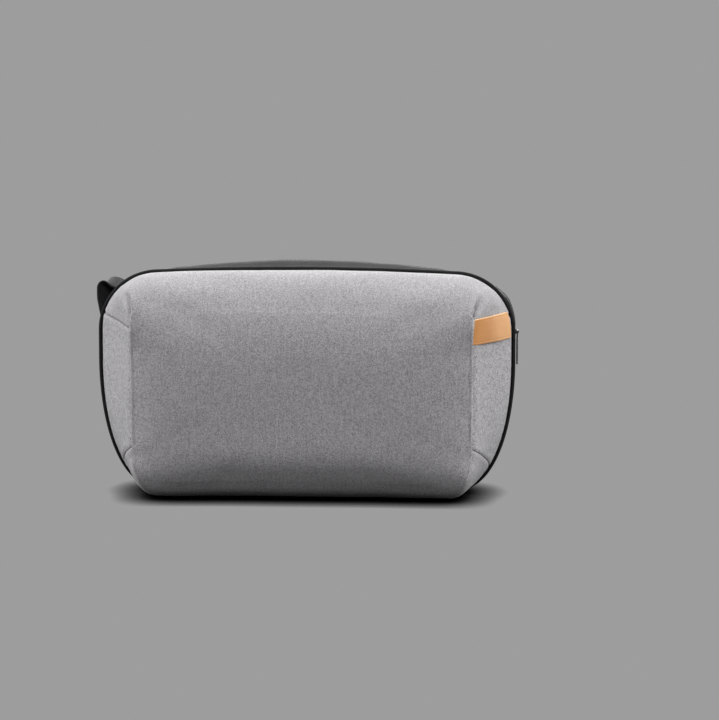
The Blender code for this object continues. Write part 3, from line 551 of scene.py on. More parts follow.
def stitch_row(path, normals, pitch=3.2 * MM, length=2.3 * MM, radius=0.28 * MM, lift=0.10 * MM):
    """(verts, faces, uvs) of a row of thread stitches lying on a surface: each a bowed little capsule that dives at both ends."""
    c = np.asarray(path, float)
    nn = np.asarray(normals, float)
    s = np.r_[0, np.cumsum(np.linalg.norm(np.diff(c, axis=0), axis=1))]
    p, t, at = path_points(c, pitch)
    nrm = np.stack([np.interp(at, s, nn[:, k]) for k in range(3)], 1)
    nrm /= np.linalg.norm(nrm, axis=1)[:, None]
    verts, faces = [], []
    steps = np.array([-1.0, -0.72, 0.0, 0.72, 1.0])
    drop = np.array([-1.2, -0.1, 0.35, -0.1, -1.2]) * radius
    size = np.array([0.45, 0.9, 1.0, 0.9, 0.45]) * radius
    for k in range(len(p)):
        side = np.cross(nrm[k], t[k])
        base = len(verts)
        for st, dr, sz in zip(steps, drop, size):
            c0 = p[k] + t[k] * st * length / 2 + nrm[k] * (lift + dr)
            for q in range(5):
                a = 2 * math.pi * q / 5
                verts.append(c0 + sz * (math.cos(a) * side + math.sin(a) * nrm[k]))
        faces += grid_faces(5, 5, wrap_cols=True, base=base)
        faces += [tuple(base + q for q in range(5))[::-1], tuple(base + 20 + q for q in range(5))]
    return verts, faces, None


def solid_sheet(name, verts, faces, mat, uvs, thick, offset=-1.0):
    """A closed sheet of fabric from an open surface."""
    o = new_object(name, verts, faces, mat, uvs)
    add_mod(o, "SOLIDIFY", thickness=thick, offset=offset, use_even_offset=False, use_rim=True)
    return bake(o)


# ===================================================================================================================
# Section outlines (the CAD's, sampled finely)
# ===================================================================================================================
def round_off(t, power):
    t = max(0.0, min(1.0, t))
    return 1 - (1 - t ** power) ** (1 / power)


def front_params(d):
    t = min(d / SEAM_DEPTH, 1.0)
    if d <= SEAM_DEPTH:
        hw = HALF_WIDTH - (HALF_WIDTH - FACE_HALF) * t - 2.2 * MM * math.sin(math.pi * t)
    else:
        hw = FACE_HALF - 70 * MM * round_off((d - SEAM_DEPTH) / (FRONT_DEPTH - SEAM_DEPTH), 2.0)
    zt = TOP_Z - TOP_ROLL * round_off(d / FRONT_DEPTH, ROLL_POWER)
    zb = BOTTOM_Z + LOW_ROLL * round_off((d - 34 * MM) / (FRONT_DEPTH - 34 * MM), 2.2)
    return (hw, zt, zb, TOP_RADIUS - (TOP_RADIUS - FACE_CORNER) * t, LOW_CURVE_X - 30 * MM * t,
            LOW_CURVE_Z - 86 * MM * t, CROWN_DROP * (1 - 0.5 * t))


def back_params(e):
    t = e / BACK_DEPTH
    edge = round_off((e - 31 * MM) / (BACK_DEPTH - 31 * MM), 2.0)
    hw = HALF_WIDTH - 11 * MM * t ** 1.5 - 14 * MM * edge
    zt = TOP_Z + 3.2 * MM * math.sin(math.pi * min(1.0, t * 1.15)) - 14 * MM * edge
    zb = BOTTOM_Z + 11 * MM * edge
    rt = TOP_RADIUS + 4 * MM * t - 10 * MM * edge
    return hw, zt, zb, rt, LOW_CURVE_X + 4 * MM * t - 12 * MM * edge, LOW_CURVE_Z - 14 * MM * edge, CROWN_DROP + 1.5 * MM * t


def half_outline(hw, zt, zb, rt, lx, lz, drop):
    """Dense (x, z) points from the top centre to the bottom centre, and the indices of the corner's middle and the bottom corner's end."""
    cx, cz = hw - rt, zt - drop - rt
    t = np.linspace(0, 1, 60, endpoint=False)[:, None]
    top = np.hstack([cx * t, zt - drop * t ** 2])
    a = np.linspace(math.pi / 2, 0, 61)
    arc = np.stack([cx + rt * np.cos(a), cz + rt * np.sin(a)], 1)
    low = min(zb + lz, cz - 1 * MM)
    reach = low - zb
    line = np.stack([np.full(40, hw), np.linspace(cz, low, 42)[1:-1]], 1)
    q = np.linspace(0, 1, 80)[:, None]
    p0, p1, p2, p3 = map(np.array, ((hw, low), (hw, low - 0.55 * reach), (hw - 0.36 * lx, zb), (hw - lx, zb)))
    curve = (1 - q) ** 3 * p0 + 3 * (1 - q) ** 2 * q * p1 + 3 * (1 - q) * q ** 2 * p2 + q ** 3 * p3
    bottom = np.stack([np.linspace(hw - lx, 0, 31)[1:], np.full(30, zb)], 1)
    return np.concatenate([top, arc, line, curve, bottom]), 60 + 30, 60 + 61 + 40 + 79


def cluster(n, ends=0.6):
    """0..1 in n steps, closer together at both ends."""
    t = np.linspace(0, 1, n + 1)
    return ends * (0.5 - 0.5 * np.cos(np.pi * t)) + (1 - ends) * t


def z_up(d):
    """Height of the upper gusset seam at depth d."""
    t = min(1.0, d / SEAM_DEPTH)
    return (149.2 - 6.4 * t - 0.6 * math.sin(math.pi * t)) * MM


def z_low(d):
    """Height of the lower gusset seam at depth d: it arches down towards the piping."""
    t = min(1.0, d / SEAM_DEPTH)
    return (22.5 + 23.0 * (1 - (1 - t) ** 0.95)) * MM


COUNTS = (42, 12, 40, 22, 24)


def half_ring(params, up=None, low=None, fractions=None, inset=0.0):
    """A half outline resampled so that sample indices follow the seams.  Returns ((H + 1, 2) points, knot fractions)."""
    p, apex, corner = half_outline(*params)
    if inset:
        t = np.gradient(p, axis=0)
        t /= np.linalg.norm(t, axis=1)[:, None]
        p = p + inset * np.stack([t[:, 1], -t[:, 0]], 1)
        p[0, 0] = p[-1, 0] = 0.0
    s = np.r_[0, np.cumsum(np.linalg.norm(np.diff(p, axis=0), axis=1))]

    def at_height(z):
        k = apex + int(np.argmax(p[apex:, 1] <= z))
        f = (p[k - 1, 1] - z) / max(1e-9, p[k - 1, 1] - p[k, 1])
        return s[k - 1] + f * (s[k] - s[k - 1])

    if fractions is None:
        su, sl = max(at_height(up), s[apex] + 2 * MM), at_height(low)
        fractions = ((su - s[apex]) / (s[corner] - s[apex]), (sl - s[apex]) / (s[corner] - s[apex]))
    else:
        su = s[apex] + fractions[0] * (s[corner] - s[apex])
        sl = s[apex] + fractions[1] * (s[corner] - s[apex])
    knots = [0.0, s[apex], su, sl, s[corner], s[-1]]
    at = [np.array([0.0])]
    for k, n in enumerate(COUNTS):
        at.append(knots[k] + cluster(n)[1:] * (knots[k + 1] - knots[k]))
    at = np.concatenate(at)
    return np.stack([np.interp(at, s, p[:, 0]), np.interp(at, s, p[:, 1])], 1), fractions


def full_ring(half):
    left = half[-2:0:-1] * np.array([-1, 1])
    return np.concatenate([half, left])


K = np.cumsum((0,) + COUNTS)          # knot sample indices on a half ring
H = K[-1]
R = 2 * H                             # samples round a ring
SIDE = np.array([1 if r <= H else -1 for r in range(R)])
HALF_INDEX = np.array([r if r <= H else R - r for r in range(R)])


# ===================================================================================================================
# Front of the bag: one stuffed shell, then its seams, then split into its panels
# ===================================================================================================================
def smoothstep(a, b, x):
    t = np.clip((np.asarray(x, float) - a) / (b - a), 0, 1)
    return t * t * (3 - 2 * t)


def face_depth(x, z):
    """Depth of the stuffed front face: full in the middle, down to the seam depth at the sides."""
    q = np.clip((TOP_Z - z) / TOP_ROLL, 1e-6, 1)
    upper = FRONT_DEPTH * (1 - (1 - q) ** ROLL_POWER) ** (1 / ROLL_POWER)
    q = np.clip((z - BOTTOM_Z) / LOW_ROLL, 1e-6, 1)
    lower = 34 * MM + 26 * MM * (1 - (1 - q) ** 2.2) ** (1 / 2.2)
    centre = np.where(z > 80 * MM, upper, lower)
    q = np.clip((FACE_HALF - abs(x)) / (70 * MM), 0, 1)
    across = np.sqrt(np.clip(1 - (1 - q) ** 2, 0, 1))
    hold = np.where(z > 80 * MM, smoothstep(160 * MM, 118 * MM, z), smoothstep(13 * MM, 40 * MM, z))
    return SEAM_DEPTH + (centre - SEAM_DEPTH) * (1 - (1 - across) * hold)


def front_grid(inset=0.0, fine=True):
    """(rows, R, 3) points of the front's outer surface, from the rim to the middle of the face, and the index of the seam row.
    An inset makes the same bowl smaller, for the padding and the lining."""
    rows, y_rows = [], []
    shrink = (FRONT_DEPTH - inset) / FRONT_DEPTH
    fr = half_ring(front_params(SEAM_DEPTH), z_up(SEAM_DEPTH), z_low(SEAM_DEPTH))[1]
    if fine:
        for d, extra in ((0.2, 4.6), (0.5, 3.8), (1.1, 3.1), (2.0, 2.55), (3.2, 2.1)):
            rows.append(half_ring(front_params(d * MM), z_up(0), z_low(0), inset=inset + extra * MM)[0])
            y_rows.append(d * MM)
        depths = list(np.linspace(5.2, 46, 20)) + [47.5, 48.8, 49.8, 50.5, 51.0, 51.4, 51.7, 52.0]
    else:
        depths = list(np.linspace(2.5, 50, 20)) + [52.0]
    for d in depths:
        roll = 1.75 * MM * math.exp(-(d - 5.2) / 8.0) if fine else 0.0
        rows.append(half_ring(front_params(d * MM), z_up(d * MM), z_low(d * MM), inset=inset + roll)[0])
        y_rows.append(d * MM)
    seam = len(rows) - 1
    rim = rows[-1]
    centre = np.array([0.0, 80 * MM])
    steps = [0.003, 0.006, 0.0095, 0.0135, 0.018, 0.025, 0.036, 0.058, 0.085, 0.115] if fine else [0.03, 0.08]
    for f in steps + list(np.linspace(0.15, 0.97, 26 if fine else 14)):
        rows.append(centre + (rim - centre) * (1 - f))
        y_rows.append(None)
    grid = np.empty((len(rows), R, 3))
    rim_extra = None
    for j in range(len(rows) - 1, -1, -1):
        whole = full_ring(rows[j])
        x, z = whole[:, 0], whole[:, 1]
        if j >= seam:
            y = face_depth(x * FACE_HALF / (FACE_HALF - inset), z)
            if j == seam:
                rim_extra = y - SEAM_DEPTH
        else:
            y = y_rows[j] + rim_extra * smoothstep(26 * MM, SEAM_DEPTH, y_rows[j])
        grid[j, :, 0], grid[j, :, 1], grid[j, :, 2] = x, -y * shrink, z
    return grid, seam, np.array([d if d is not None else 1.0 for d in y_rows])


def grid_normals(grid):
    """Outward unit normals of a grid whose rows run inwards from the rim."""
    du = np.roll(grid, -1, 1) - np.roll(grid, 1, 1)
    dv = np.gradient(grid, axis=0)
    n = np.cross(du, dv)
    n /= np.maximum(1e-12, np.linalg.norm(n, axis=2))[..., None]
    if ((grid - np.array([0, 0, 0.09])) * n).sum() < 0:
        n = -n
    return n


def voxel_copy(obj, size):
    m = add_mod(obj, "REMESH", mode="VOXEL", voxel_size=size)
    m.use_smooth_shade = True
    return bake(obj)


def coords(mesh):
    co = np.empty(len(mesh.vertices) * 3)
    mesh.vertices.foreach_get("co", co)
    return co.reshape(-1, 3)


def run_cloth(obj, pressure, frames=20, pins=None, stiff=15.0, bend=0.8, shrink=0.0, mass=0.3):
    """Steps a pressurised cloth simulation on obj and returns how far each point has moved."""
    rest = coords(obj.data)
    mod = obj.modifiers.new("cloth", "CLOTH")
    s = mod.settings
    s.quality, s.mass = 6, mass
    s.tension_stiffness = s.compression_stiffness = stiff
    s.shear_stiffness, s.bending_stiffness = stiff / 2, bend
    s.air_damping = 2.0
    s.use_pressure, s.uniform_pressure_force = True, pressure
    s.shrink_min = shrink
    s.effector_weights.gravity = 0.0
    mod.collision_settings.use_collision = False
    if pins is not None:
        group = obj.vertex_groups.new(name="pin")
        for k in np.nonzero(pins > 0.01)[0]:
            group.add([int(k)], float(pins[k]), "REPLACE")
        s.vertex_group_mass = "pin"
    scene = bpy.context.scene
    scene.frame_start, scene.frame_end = 1, frames
    mod.point_cache.frame_start, mod.point_cache.frame_end = 1, frames
    for f in range(1, frames + 1):
        scene.frame_set(f)
    ev = obj.evaluated_get(bpy.context.evaluated_depsgraph_get())
    moved = coords(ev.to_mesh())
    ev.to_mesh_clear()
    obj.modifiers.remove(mod)
    scene.frame_set(1)
    return rest, moved - rest


def capped(move, cap):
    size = np.linalg.norm(move, axis=1)
    soft = cap * np.tanh(size / cap)
    return move * (soft / np.maximum(size, 1e-9))[:, None]


def nearest(points, line, chunk=3000):
    """Distance from each point to the nearest of the line's points, and which one it is."""
    best, arg = np.full(len(points), 1e9), np.zeros(len(points), int)
    for a in range(0, len(points), chunk):
        d = np.linalg.norm(points[a:a + chunk, None, :] - line[None], axis=2)
        arg[a:a + chunk] = d.argmin(1)
        best[a:a + chunk] = d.min(1)
    return best, arg


def spread(points, rest, move, k=6):
    """The moves of a simulated copy carried over to other points, weighted by distance."""
    from mathutils.kdtree import KDTree
    tree = KDTree(len(rest))
    for i, p in enumerate(rest):
        tree.insert(p, i)
    tree.balance()
    out = np.zeros((len(points), 3))
    for i, p in enumerate(points):
        found = tree.find_n(p, k)
        w = np.array([1.0 / (f[2] + 0.8 * MM) ** 2 for f in found])
        out[i] = (w[:, None] * move[[f[1] for f in found]]).sum(0) / w.sum()
    return out


def smooth_grid(values, times, hold=None):
    for _ in range(times):
        sm = 0.25 * (np.roll(values, 1, 1) + np.roll(values, -1, 1)) + 0.5 * values
        sm[1:-1] = 0.25 * (sm[2:] + sm[:-2]) + 0.5 * sm[1:-1]
        values = sm if hold is None else sm * (1 - hold[..., None])
    return values


grid0, SEAM_J, depth_rows = front_grid()
ROWS = len(grid0)
APEX, UP, LOW, CORNER = K[1], K[2], K[3], K[4]
PINCH_J = int(np.argmin(abs(depth_rows[:SEAM_J] - 42 * MM)))
LOW_END = LOW + 13                       # the upright seam runs on below the gusset and fades out here
J = np.repeat(np.arange(ROWS), R)
I = np.tile(HALF_INDEX, ROWS)
S = np.tile(SIDE, ROWS)


def polyline_distance(points, line):
    """Distance from each point to a polyline resampled every 0.4 mm, and the share of the way along."""
    p, _, at = path_points(line, 0.4 * MM)
    best, arg = nearest(points, p)
    return best, at[arg] / at[-1]


def seam_lines(grid, side):
    """The upright seam from the pinch at the top to where it fades, and the two gusset seams."""
    idx = lambda i: i if side > 0 else (R - i) % R
    upright = [grid[j, idx(APEX)] for j in range(PINCH_J, SEAM_J)] + [grid[SEAM_J, idx(i)] for i in range(APEX, LOW_END + 1)]
    upper = [grid[j, idx(UP)] for j in range(2, SEAM_J + 1)]
    lower = [grid[j, idx(LOW)] for j in range(2, SEAM_J + 1)]
    return np.array(upright), np.array(upper), np.array(lower)


def stuffed_front(grid):
    """The front blown out softly between its seams by a cloth simulation on an even copy."""
    work = new_object("front_work", grid.reshape(-1, 3), grid_faces(ROWS, R, wrap_cols=True) +
                      [tuple((ROWS - 1) * R + r for r in range(R)), tuple(range(R))[::-1]], None)
    triangulated(work)
    voxel_copy(work, 5 * MM)
    p = coords(work.data)
    pins = (p[:, 1] > -4 * MM).astype(float)
    for side in (-1, 1):
        upright, upper, lower = seam_lines(grid, side)
        for line, weight, reach in ((upright, 1.0, 4.2), (upper, 0.9, 3.4), (lower, 0.8, 3.4)):
            dist, _ = polyline_distance(p, line)
            pins = np.maximum(pins, weight * (dist < reach * MM))
    rest, move = run_cloth(work, 3.0, 16, pins, stiff=22, bend=1.5, shrink=-0.004)
    bpy.data.objects.remove(work, do_unlink=True)
    move = capped(move, 3.4 * MM)
    out = spread(grid.reshape(-1, 3), rest, move).reshape(grid.shape)
    mirror = out[:, (R - np.arange(R)) % R] * np.array([-1, 1, 1])
    out = 0.65 * out + 0.35 * mirror
    hold = np.zeros((ROWS, R))
    hold[:4] = 1.0
    hold[SEAM_J, (HALF_INDEX >= APEX) & (HALF_INDEX <= LOW_END)] = 1.0
    hold[2:SEAM_J + 1, (HALF_INDEX == UP) | (HALF_INDEX == LOW)] = 0.85
    hold[PINCH_J:SEAM_J + 1, HALF_INDEX == APEX] = 1.0
    in_side = (HALF_INDEX > UP) & (HALF_INDEX < LOW)
    out[:SEAM_J, in_side] *= 0.45
    out[:SEAM_J] *= (0.12 + 0.88 * smoothstep(5 * MM, 38 * MM, depth_rows[:SEAM_J]))[:, None, None]
    out *= (1 - hold[..., None])
    return grid + smooth_grid(out, 6, hold)


def triangulated(obj):
    bm = bmesh.new()
    bm.from_mesh(obj.data)
    bmesh.ops.triangulate(bm, faces=[f for f in bm.faces if len(f.verts) > 4])
    bmesh.ops.recalc_face_normals(bm, faces=bm.faces)
    bm.to_mesh(obj.data)
    bm.free()
    obj.data.shade_smooth()
    return obj


grid1 = stuffed_front(grid0)
nrm1 = grid_normals(grid1)
pts = grid1.reshape(-1, 3)
nrms = nrm1.reshape(-1, 3)
shift = np.zeros(len(pts))
face_side = (J > SEAM_J) | (I < APEX) | ((J == SEAM_J) & (I <= APEX))
for side in (-1, 1):
    upright, upper, lower = seam_lines(grid1, side)
    mine = (pts[:, 0] * side > 0.08)
    dist, along = polyline_distance(pts, upright)
    fade = np.clip((1 - along) / 0.16, 0, 1) * np.clip(along / 0.02, 0.35, 1)
    top = np.clip(1 - along / 0.20, 0, 1)                     # 1 at the pinch, 0 where the gusset starts
    ridge = 0.6 * MM * np.exp(-((dist - 0.9 * MM) / (1.1 * MM)) ** 2) * face_side
    groove = -(2.1 * MM + 3.4 * MM * top) * np.exp(-(dist / ((1.3 + 2.8 * top) * MM)) ** 2) * ~face_side
    shoulder = 0.7 * MM * np.exp(-((dist - 6 * MM) / (4 * MM)) ** 2) * ~face_side
    valley = -(1.5 if side > 0 else 0.4) * MM * np.exp(-(dist / (5.0 * MM)) ** 2) * ~face_side * (1 - top)
    shift += mine * fade * (ridge + groove + shoulder + valley)
    away = np.linalg.norm((pts - upright[0]) * np.array([1.6, 1, 0.75]), axis=1)
    shift += -2.8 * MM * np.exp(-(away / (4.6 * MM)) ** 2) * np.where(face_side, 0.35, 1.0)
    lobe = np.linalg.norm((pts - (upright[0] + np.array([side * 13, 14, 2]) * MM)) * np.array([1.0, 0.8, 1.0]), axis=1)
    shift += 2.2 * MM * np.exp(-(lobe / (13 * MM)) ** 2) * ~face_side
    for line, depth, width in ((upper, 0.9, 1.1), (lower, 0.8, 1.1)):
        dist, along = polyline_distance(pts, line)
        shift += mine * (-depth * MM * np.exp(-(dist / (width * MM)) ** 2) + 0.35 * MM * np.exp(-((dist - 3.2 * MM) / (1.8 * MM)) ** 2))
# the fabric is never quite even
unit = value_noise(pts, 16.0, 3.0) * 0.55 * MM + value_noise(pts, 45.0, 9.0) * 0.16 * MM
shift += unit * np.clip((J - 3) / 6.0, 0, 1)
skin = (pts + nrms * shift[:, None]).reshape(ROWS, R, 3)
lift_map = shift.reshape(ROWS, R)
top_run = HALF_INDEX < APEX - 5
for _ in range(10):
    rows_now = skin[SEAM_J - 5:SEAM_J + 6].copy()
    rows_now[1:-1] = 0.25 * rows_now[:-2] + 0.5 * rows_now[1:-1] + 0.25 * rows_now[2:]
    skin[SEAM_J - 5:SEAM_J + 6, top_run] = rows_now[:, top_run]
for side, sink in ((-1, 0.3), (1, 3.4)):        # the pinch at the top of each upright seam stands out a little, one lower than the other
    pinch = skin[PINCH_J, APEX if side > 0 else R - APEX].copy()
    near = np.exp(-(np.linalg.norm(skin - pinch, axis=2) / (19 * MM)) ** 2)
    skin[..., 0] += side * (2.0 if side < 0 else 3.2) * MM * near
    skin[..., 2] -= sink * MM * near
skin[..., 0] += np.sign(skin[..., 0]) * 0.8 * MM * smoothstep(145 * MM, 165 * MM, abs(skin[..., 0])) * smoothstep(14 * MM, 5 * MM, -skin[..., 1])
skin[..., 0] -= 1.0 * MM * smoothstep(10 * MM, 48 * MM, -skin[..., 1])      # the stuffing sits a little to one side


def fabric_uv(p):
    """Weave coordinates in metres that follow the cloth over the top roll, under the bottom and round the sides."""
    x, y, z = p[:, 0], p[:, 1], p[:, 2]
    u = x + np.sign(x) * np.clip((abs(x) - 0.128) / 0.02, 0, 1) * (y + 0.052) * 0.75
    v = z + np.where(z > 0.06, 1.0, -1.0) * np.clip(y + 0.060, 0, None) * 0.9
    return np.stack([u, v], 1)


def gusset_uv(p):
    return np.stack([(p[:, 1] + 0.05) * 1.17 + np.sign(p[:, 0]) * 0.3, p[:, 2]], 1)


def region_mesh(grid, keep, uv_of, cap_last=True):
    """(verts, faces, uvs) of the cells of a grid for which keep(row, half index, side) holds."""
    rows = len(grid)
    faces = []
    for j in range(rows - 1):
        for r in range(R):
            i = min(HALF_INDEX[r], HALF_INDEX[(r + 1) % R])
            side = 1 if r < H else -1
            if keep(j, i, side):
                faces.append((j * R + r, j * R + (r + 1) % R, (j + 1) * R + (r + 1) % R, (j + 1) * R + r))
    if cap_last:
        faces.append(tuple((rows - 1) * R + r for r in range(R)))
    used = sorted(set(i for f in faces for i in f))
    back = {old: new for new, old in enumerate(used)}
    verts = grid.reshape(-1, 3)[used]
    return verts, [tuple(back[i] for i in f) for f in faces], uv_of(verts)


def in_gusset(j, i, side):
    return 2 <= j < SEAM_J and UP <= i < LOW


def outward(obj, centre=Vector((0, 0, 0.09))):
    if sum((p.center - centre).dot(p.normal) * p.area for p in obj.data.polygons) < 0:
        obj.data.flip_normals()
    return obj


def sheet_piece(name, verts, faces, uvs, mat, thick=1.5 * MM, centre=Vector((0, 0, 0.09))):
    """A fabric sheet with its outside facing away from centre."""
    obj = outward(triangulated(new_object(name, verts, faces, mat, uvs)), centre)
    add_mod(obj, "SOLIDIFY", thickness=thick, offset=-1.0, use_rim=True)
    return bake(obj)


def across_fold(obj):
    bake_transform(obj)


verts, faces, uvs = region_mesh(skin, lambda j, i, s: not in_gusset(j, i, s), fabric_uv)
front = sheet_piece("front_fabric", verts, faces, uvs, M["heather"])
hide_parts("front_panel_shell", "front_base_shell")
across_fold(front)
for side, label in ((-1, "left"), (1, "right")):
    verts, faces, uvs = region_mesh(skin, lambda j, i, s: in_gusset(j, i, s) and s == side, gusset_uv, cap_last=False)
    piece = sheet_piece(f"{label}_gusset_fabric", verts, faces, uvs, M["gusset"])
    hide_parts(f"{label}_gusset_panel")
    across_fold(piece)


# The turned seam edge stands up along each side of the face, in the lightened heather: a painted highlight along the
# lip.
skin_n = grid_normals(skin)
for side, label in ((-1, "left"), (1, "right")):
    idx = lambda i: i if side > 0 else (R - i) % R
    where = [(j, idx(APEX)) for j in range(PINCH_J + 1, SEAM_J)] + [(SEAM_J, idx(i)) for i in range(APEX, LOW_END - 1)]
    line = np.array([skin[a] - nrm1[a] * min(0.0, lift_map[a]) for a in where])
    normal = np.array([nrm1[a] for a in where])
    for _ in range(3):
        normal[1:-1] = (normal[2:] + normal[:-2] + normal[1:-1]) / 3
    lean = normal + np.array([side * 0.10, 0, 0])
    lean /= np.linalg.norm(lean, axis=1)[:, None]
    s = np.r_[0, np.cumsum(np.linalg.norm(np.diff(line, axis=0), axis=1))]
    at = np.linspace(0, s[-1], 150)
    line, lean = [np.stack([np.interp(at, s, q[:, k]) for k in range(3)], 1) for q in (line, lean)]
    share = at / at[-1]
    size = 0.85 * MM * np.clip(share / 0.12, 0.2, 1) * np.clip((1 - share) / 0.30, 0.1, 1)
    v, f, u = round_tube(line + lean * 0.25 * MM + np.array([-side * 0.7 * MM, -0.25 * MM, 0]), size, 12, squash=(1.5, 0.85), across=lean)
    lip = outward(triangulated(new_object(f"{label}_seam_edge", v, f, M["seam_lip_painted_highlight"], u)), Vector(line.mean(0) - lean.mean(0) * 0.05))
    across_fold(lip)


def bowl(name, outer, inner, mat, uv_of):
    """A closed padded bowl between two grids of the same shape."""
    rows = len(outer)
    n = rows * R
    verts = np.concatenate([outer.reshape(-1, 3), inner.reshape(-1, 3)])
    faces = grid_faces(rows, R, wrap_cols=True) + [f[::-1] for f in grid_faces(rows, R, wrap_cols=True, base=n)]
    faces += [(r, n + r, n + (r + 1) % R, (r + 1) % R) for r in range(R)]
    faces += [tuple((rows - 1) * R + r for r in range(R)), tuple(n + (rows - 1) * R + r for r in range(R))[::-1]]
    return triangulated(new_object(name, verts, faces, mat, uv_of(verts)))


def dimpled(grid, amount, seed):
    n = grid_normals(grid)
    p = grid.reshape(-1, 3)
    d = value_noise(p, 30.0, seed) * amount + value_noise(p, 80.0, seed + 4) * amount * 0.3
    return (p + n.reshape(-1, 3) * d[:, None]).reshape(grid.shape)


lin_out, _, _ = front_grid(3.4 * MM, fine=False)
lin_in, _, _ = front_grid(6.6 * MM, fine=False)
piece = bowl("front_lining", lin_out, dimpled(lin_in, 0.35 * MM, 2.0), M["lining"], fabric_uv)
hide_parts("front_foam_liner")
across_fold(piece)


# ===================================================================================================================
# Piping, zip and the band under the fold
# ===================================================================================================================
def outline_path(inset, y, n=420, params=None, z_from=None, z_to=None):
    """A closed path (n, 3) round the seam outline, the open arch above z_from, or the open run below z_to."""
    p, _, _ = half_outline(*(params or (HALF_WIDTH, TOP_Z, BOTTOM_Z, TOP_RADIUS, LOW_CURVE_X, LOW_CURVE_Z, CROWN_DROP)))
    whole = np.concatenate([p, p[-2:0:-1] * np.array([-1, 1])])
    t = np.roll(whole, -1, 0) - np.roll(whole, 1, 0)
    t /= np.maximum(1e-9, np.linalg.norm(t, axis=1))[:, None]
    whole = whole + inset * np.stack([t[:, 1], -t[:, 0]], 1)
    loop = np.concatenate([whole, whole[:1]])
    s = np.r_[0, np.cumsum(np.linalg.norm(np.diff(loop, axis=0), axis=1))]
    at = np.linspace(0, s[-1], n, endpoint=False)
    q = np.stack([np.interp(at, s, loop[:, 0]), np.full(n, y), np.interp(at, s, loop[:, 1])], 1)
    if z_from is not None:
        keep = np.where(q[:, 2] > z_from)[0]
        return np.concatenate([q[keep[keep >= n / 2]], q[keep[keep < n / 2]]])     # left end, over the top, right end
    if z_to is not None:
        return q[np.where(q[:, 2] < z_to)[0]]
    return q


Y_AXIS = np.array([0.0, 1.0, 0.0])


def along_y(path):
    return np.repeat(Y_AXIS[None], len(path), 0)


def path_normals(path):
    """Unit vectors out of the bag in the XZ plane along an outline path."""
    t = np.gradient(path, axis=0)
    n = np.stack([-t[:, 2], np.zeros(len(t)), t[:, 0]], 1)
    n /= np.linalg.norm(n, axis=1)[:, None]
    if ((path - np.array([0, 0, 0.095])) * n).sum() < 0:
        n = -n
    return n


pp = outline_path(1.0 * MM, -0.3 * MM)
v, f, u = round_tube(pp, (1.3 + 0.35 * smoothstep(160 * MM, 176 * MM, pp[:, 2])) * MM, 14, closed=True, across=along_y(pp))
piping = outward(new_object("piping", v, f, M["piping"], u))
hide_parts("front_piping", "lower_piping")
across_fold(piping)


def teeth(path, normals, pitch, y_mid, length, width, height, phase=0.0):
    """(verts, faces, uvs) of coil elements across a tape: little rounded bars that lie along Y."""
    s = np.r_[0, np.cumsum(np.linalg.norm(np.diff(path, axis=0), axis=1))]
    count = int(s[-1] / pitch)
    at = (np.arange(count) + 0.5 + phase) * pitch
    at = at[at < s[-1] - pitch * 0.4]
    p = np.stack([np.interp(at, s, path[:, k]) for k in range(3)], 1)
    n = np.stack([np.interp(at, s, normals[:, k]) for k in range(3)], 1)
    n /= np.linalg.norm(n, axis=1)[:, None]
    verts, faces, uvs = [], [], []
    ys = np.array([-0.5, -0.40, 0.40, 0.5]) * length
    size = np.array([0.55, 1.0, 1.0, 0.55])
    for k in range(len(p)):
        t = np.cross(n[k], Y_AXIS)
        base = len(verts)
        for yy, sc in zip(ys, size):
            for a in range(6):
                ang = math.pi * (a / 3 + 1 / 6)
                q = p[k] + t * (math.cos(ang) * width / 2 * sc) + n[k] * (height / 2 + math.sin(ang) * height / 2 * sc)
                verts.append((q[0], y_mid + yy, q[2]))
                uvs.append((a * 0.001, yy))
        faces += grid_faces(4, 6, wrap_cols=True, base=base) + [tuple(base + q for q in range(6))[::-1], tuple(base + 18 + q for q in range(6))]
    return verts, faces, uvs


arch = outline_path(2.0 * MM, 0.0, 700, z_from=ZIP_END_Z + 0.4 * MM)
arch_n = path_normals(arch)


def tape(name, y0, y1, node, phase):
    """One half of the zip: a woven tape with its row of coil elements along the inner edge."""
    mid = arch.copy()
    mid[:, 1] = (y0 + y1) / 2
    v, f, u = flat_ribbon(mid, along_y(mid), y1 - y0, 0.9 * MM, sides=6)
    edge = y1 if node == "zip_tape_front" else y0
    toward = 1 if node == "zip_tape_front" else -1
    body = join(name, [(v, f, u)], M["tape"])
    outward(body)
    tooth = join(name.replace("tape", "coil"), [teeth(arch + arch_n * 0.35 * MM, arch_n, 1.7 * MM, edge - toward * 0.55 * MM, 2.5 * MM, 1.05 * MM,
                                                      1.1 * MM, phase)], M["coil"])
    stitches = []
    for off in (0.32,):
        line = arch.copy() + arch_n * 0.45 * MM
        line[:, 1] = (y0 if toward > 0 else y1) + toward * 0.9 * MM
        stitches.append(stitch_row(line, arch_n, 3.0 * MM, 2.1 * MM, 0.22 * MM, 0.06 * MM))
    seam = join(name.replace("tape", "stitches"), stitches, M["thread_black"])
    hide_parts(node)
    return body, tooth, seam


for piece in tape("front_zip_tape", 1.3 * MM, 5.9 * MM, "zip_tape_front", 0.0):
    across_fold(piece)
for piece in tape("rear_zip_tape", 6.5 * MM, 11.2 * MM, "zip_tape_rear", 0.5):
    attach(piece, "bag_back")

low_run = outline_path(1.6 * MM, 6.2 * MM, 700, z_to=ZIP_END_Z - 0.2 * MM)
v, f, u = flat_ribbon(low_run, along_y(low_run), 10.0 * MM, 1.1 * MM, sides=7, crown=0.2 * MM)
band = outward(new_object("lower_band", v, f, M["black"], u))
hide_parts("lower_joining_band")
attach(band, "bag_back")


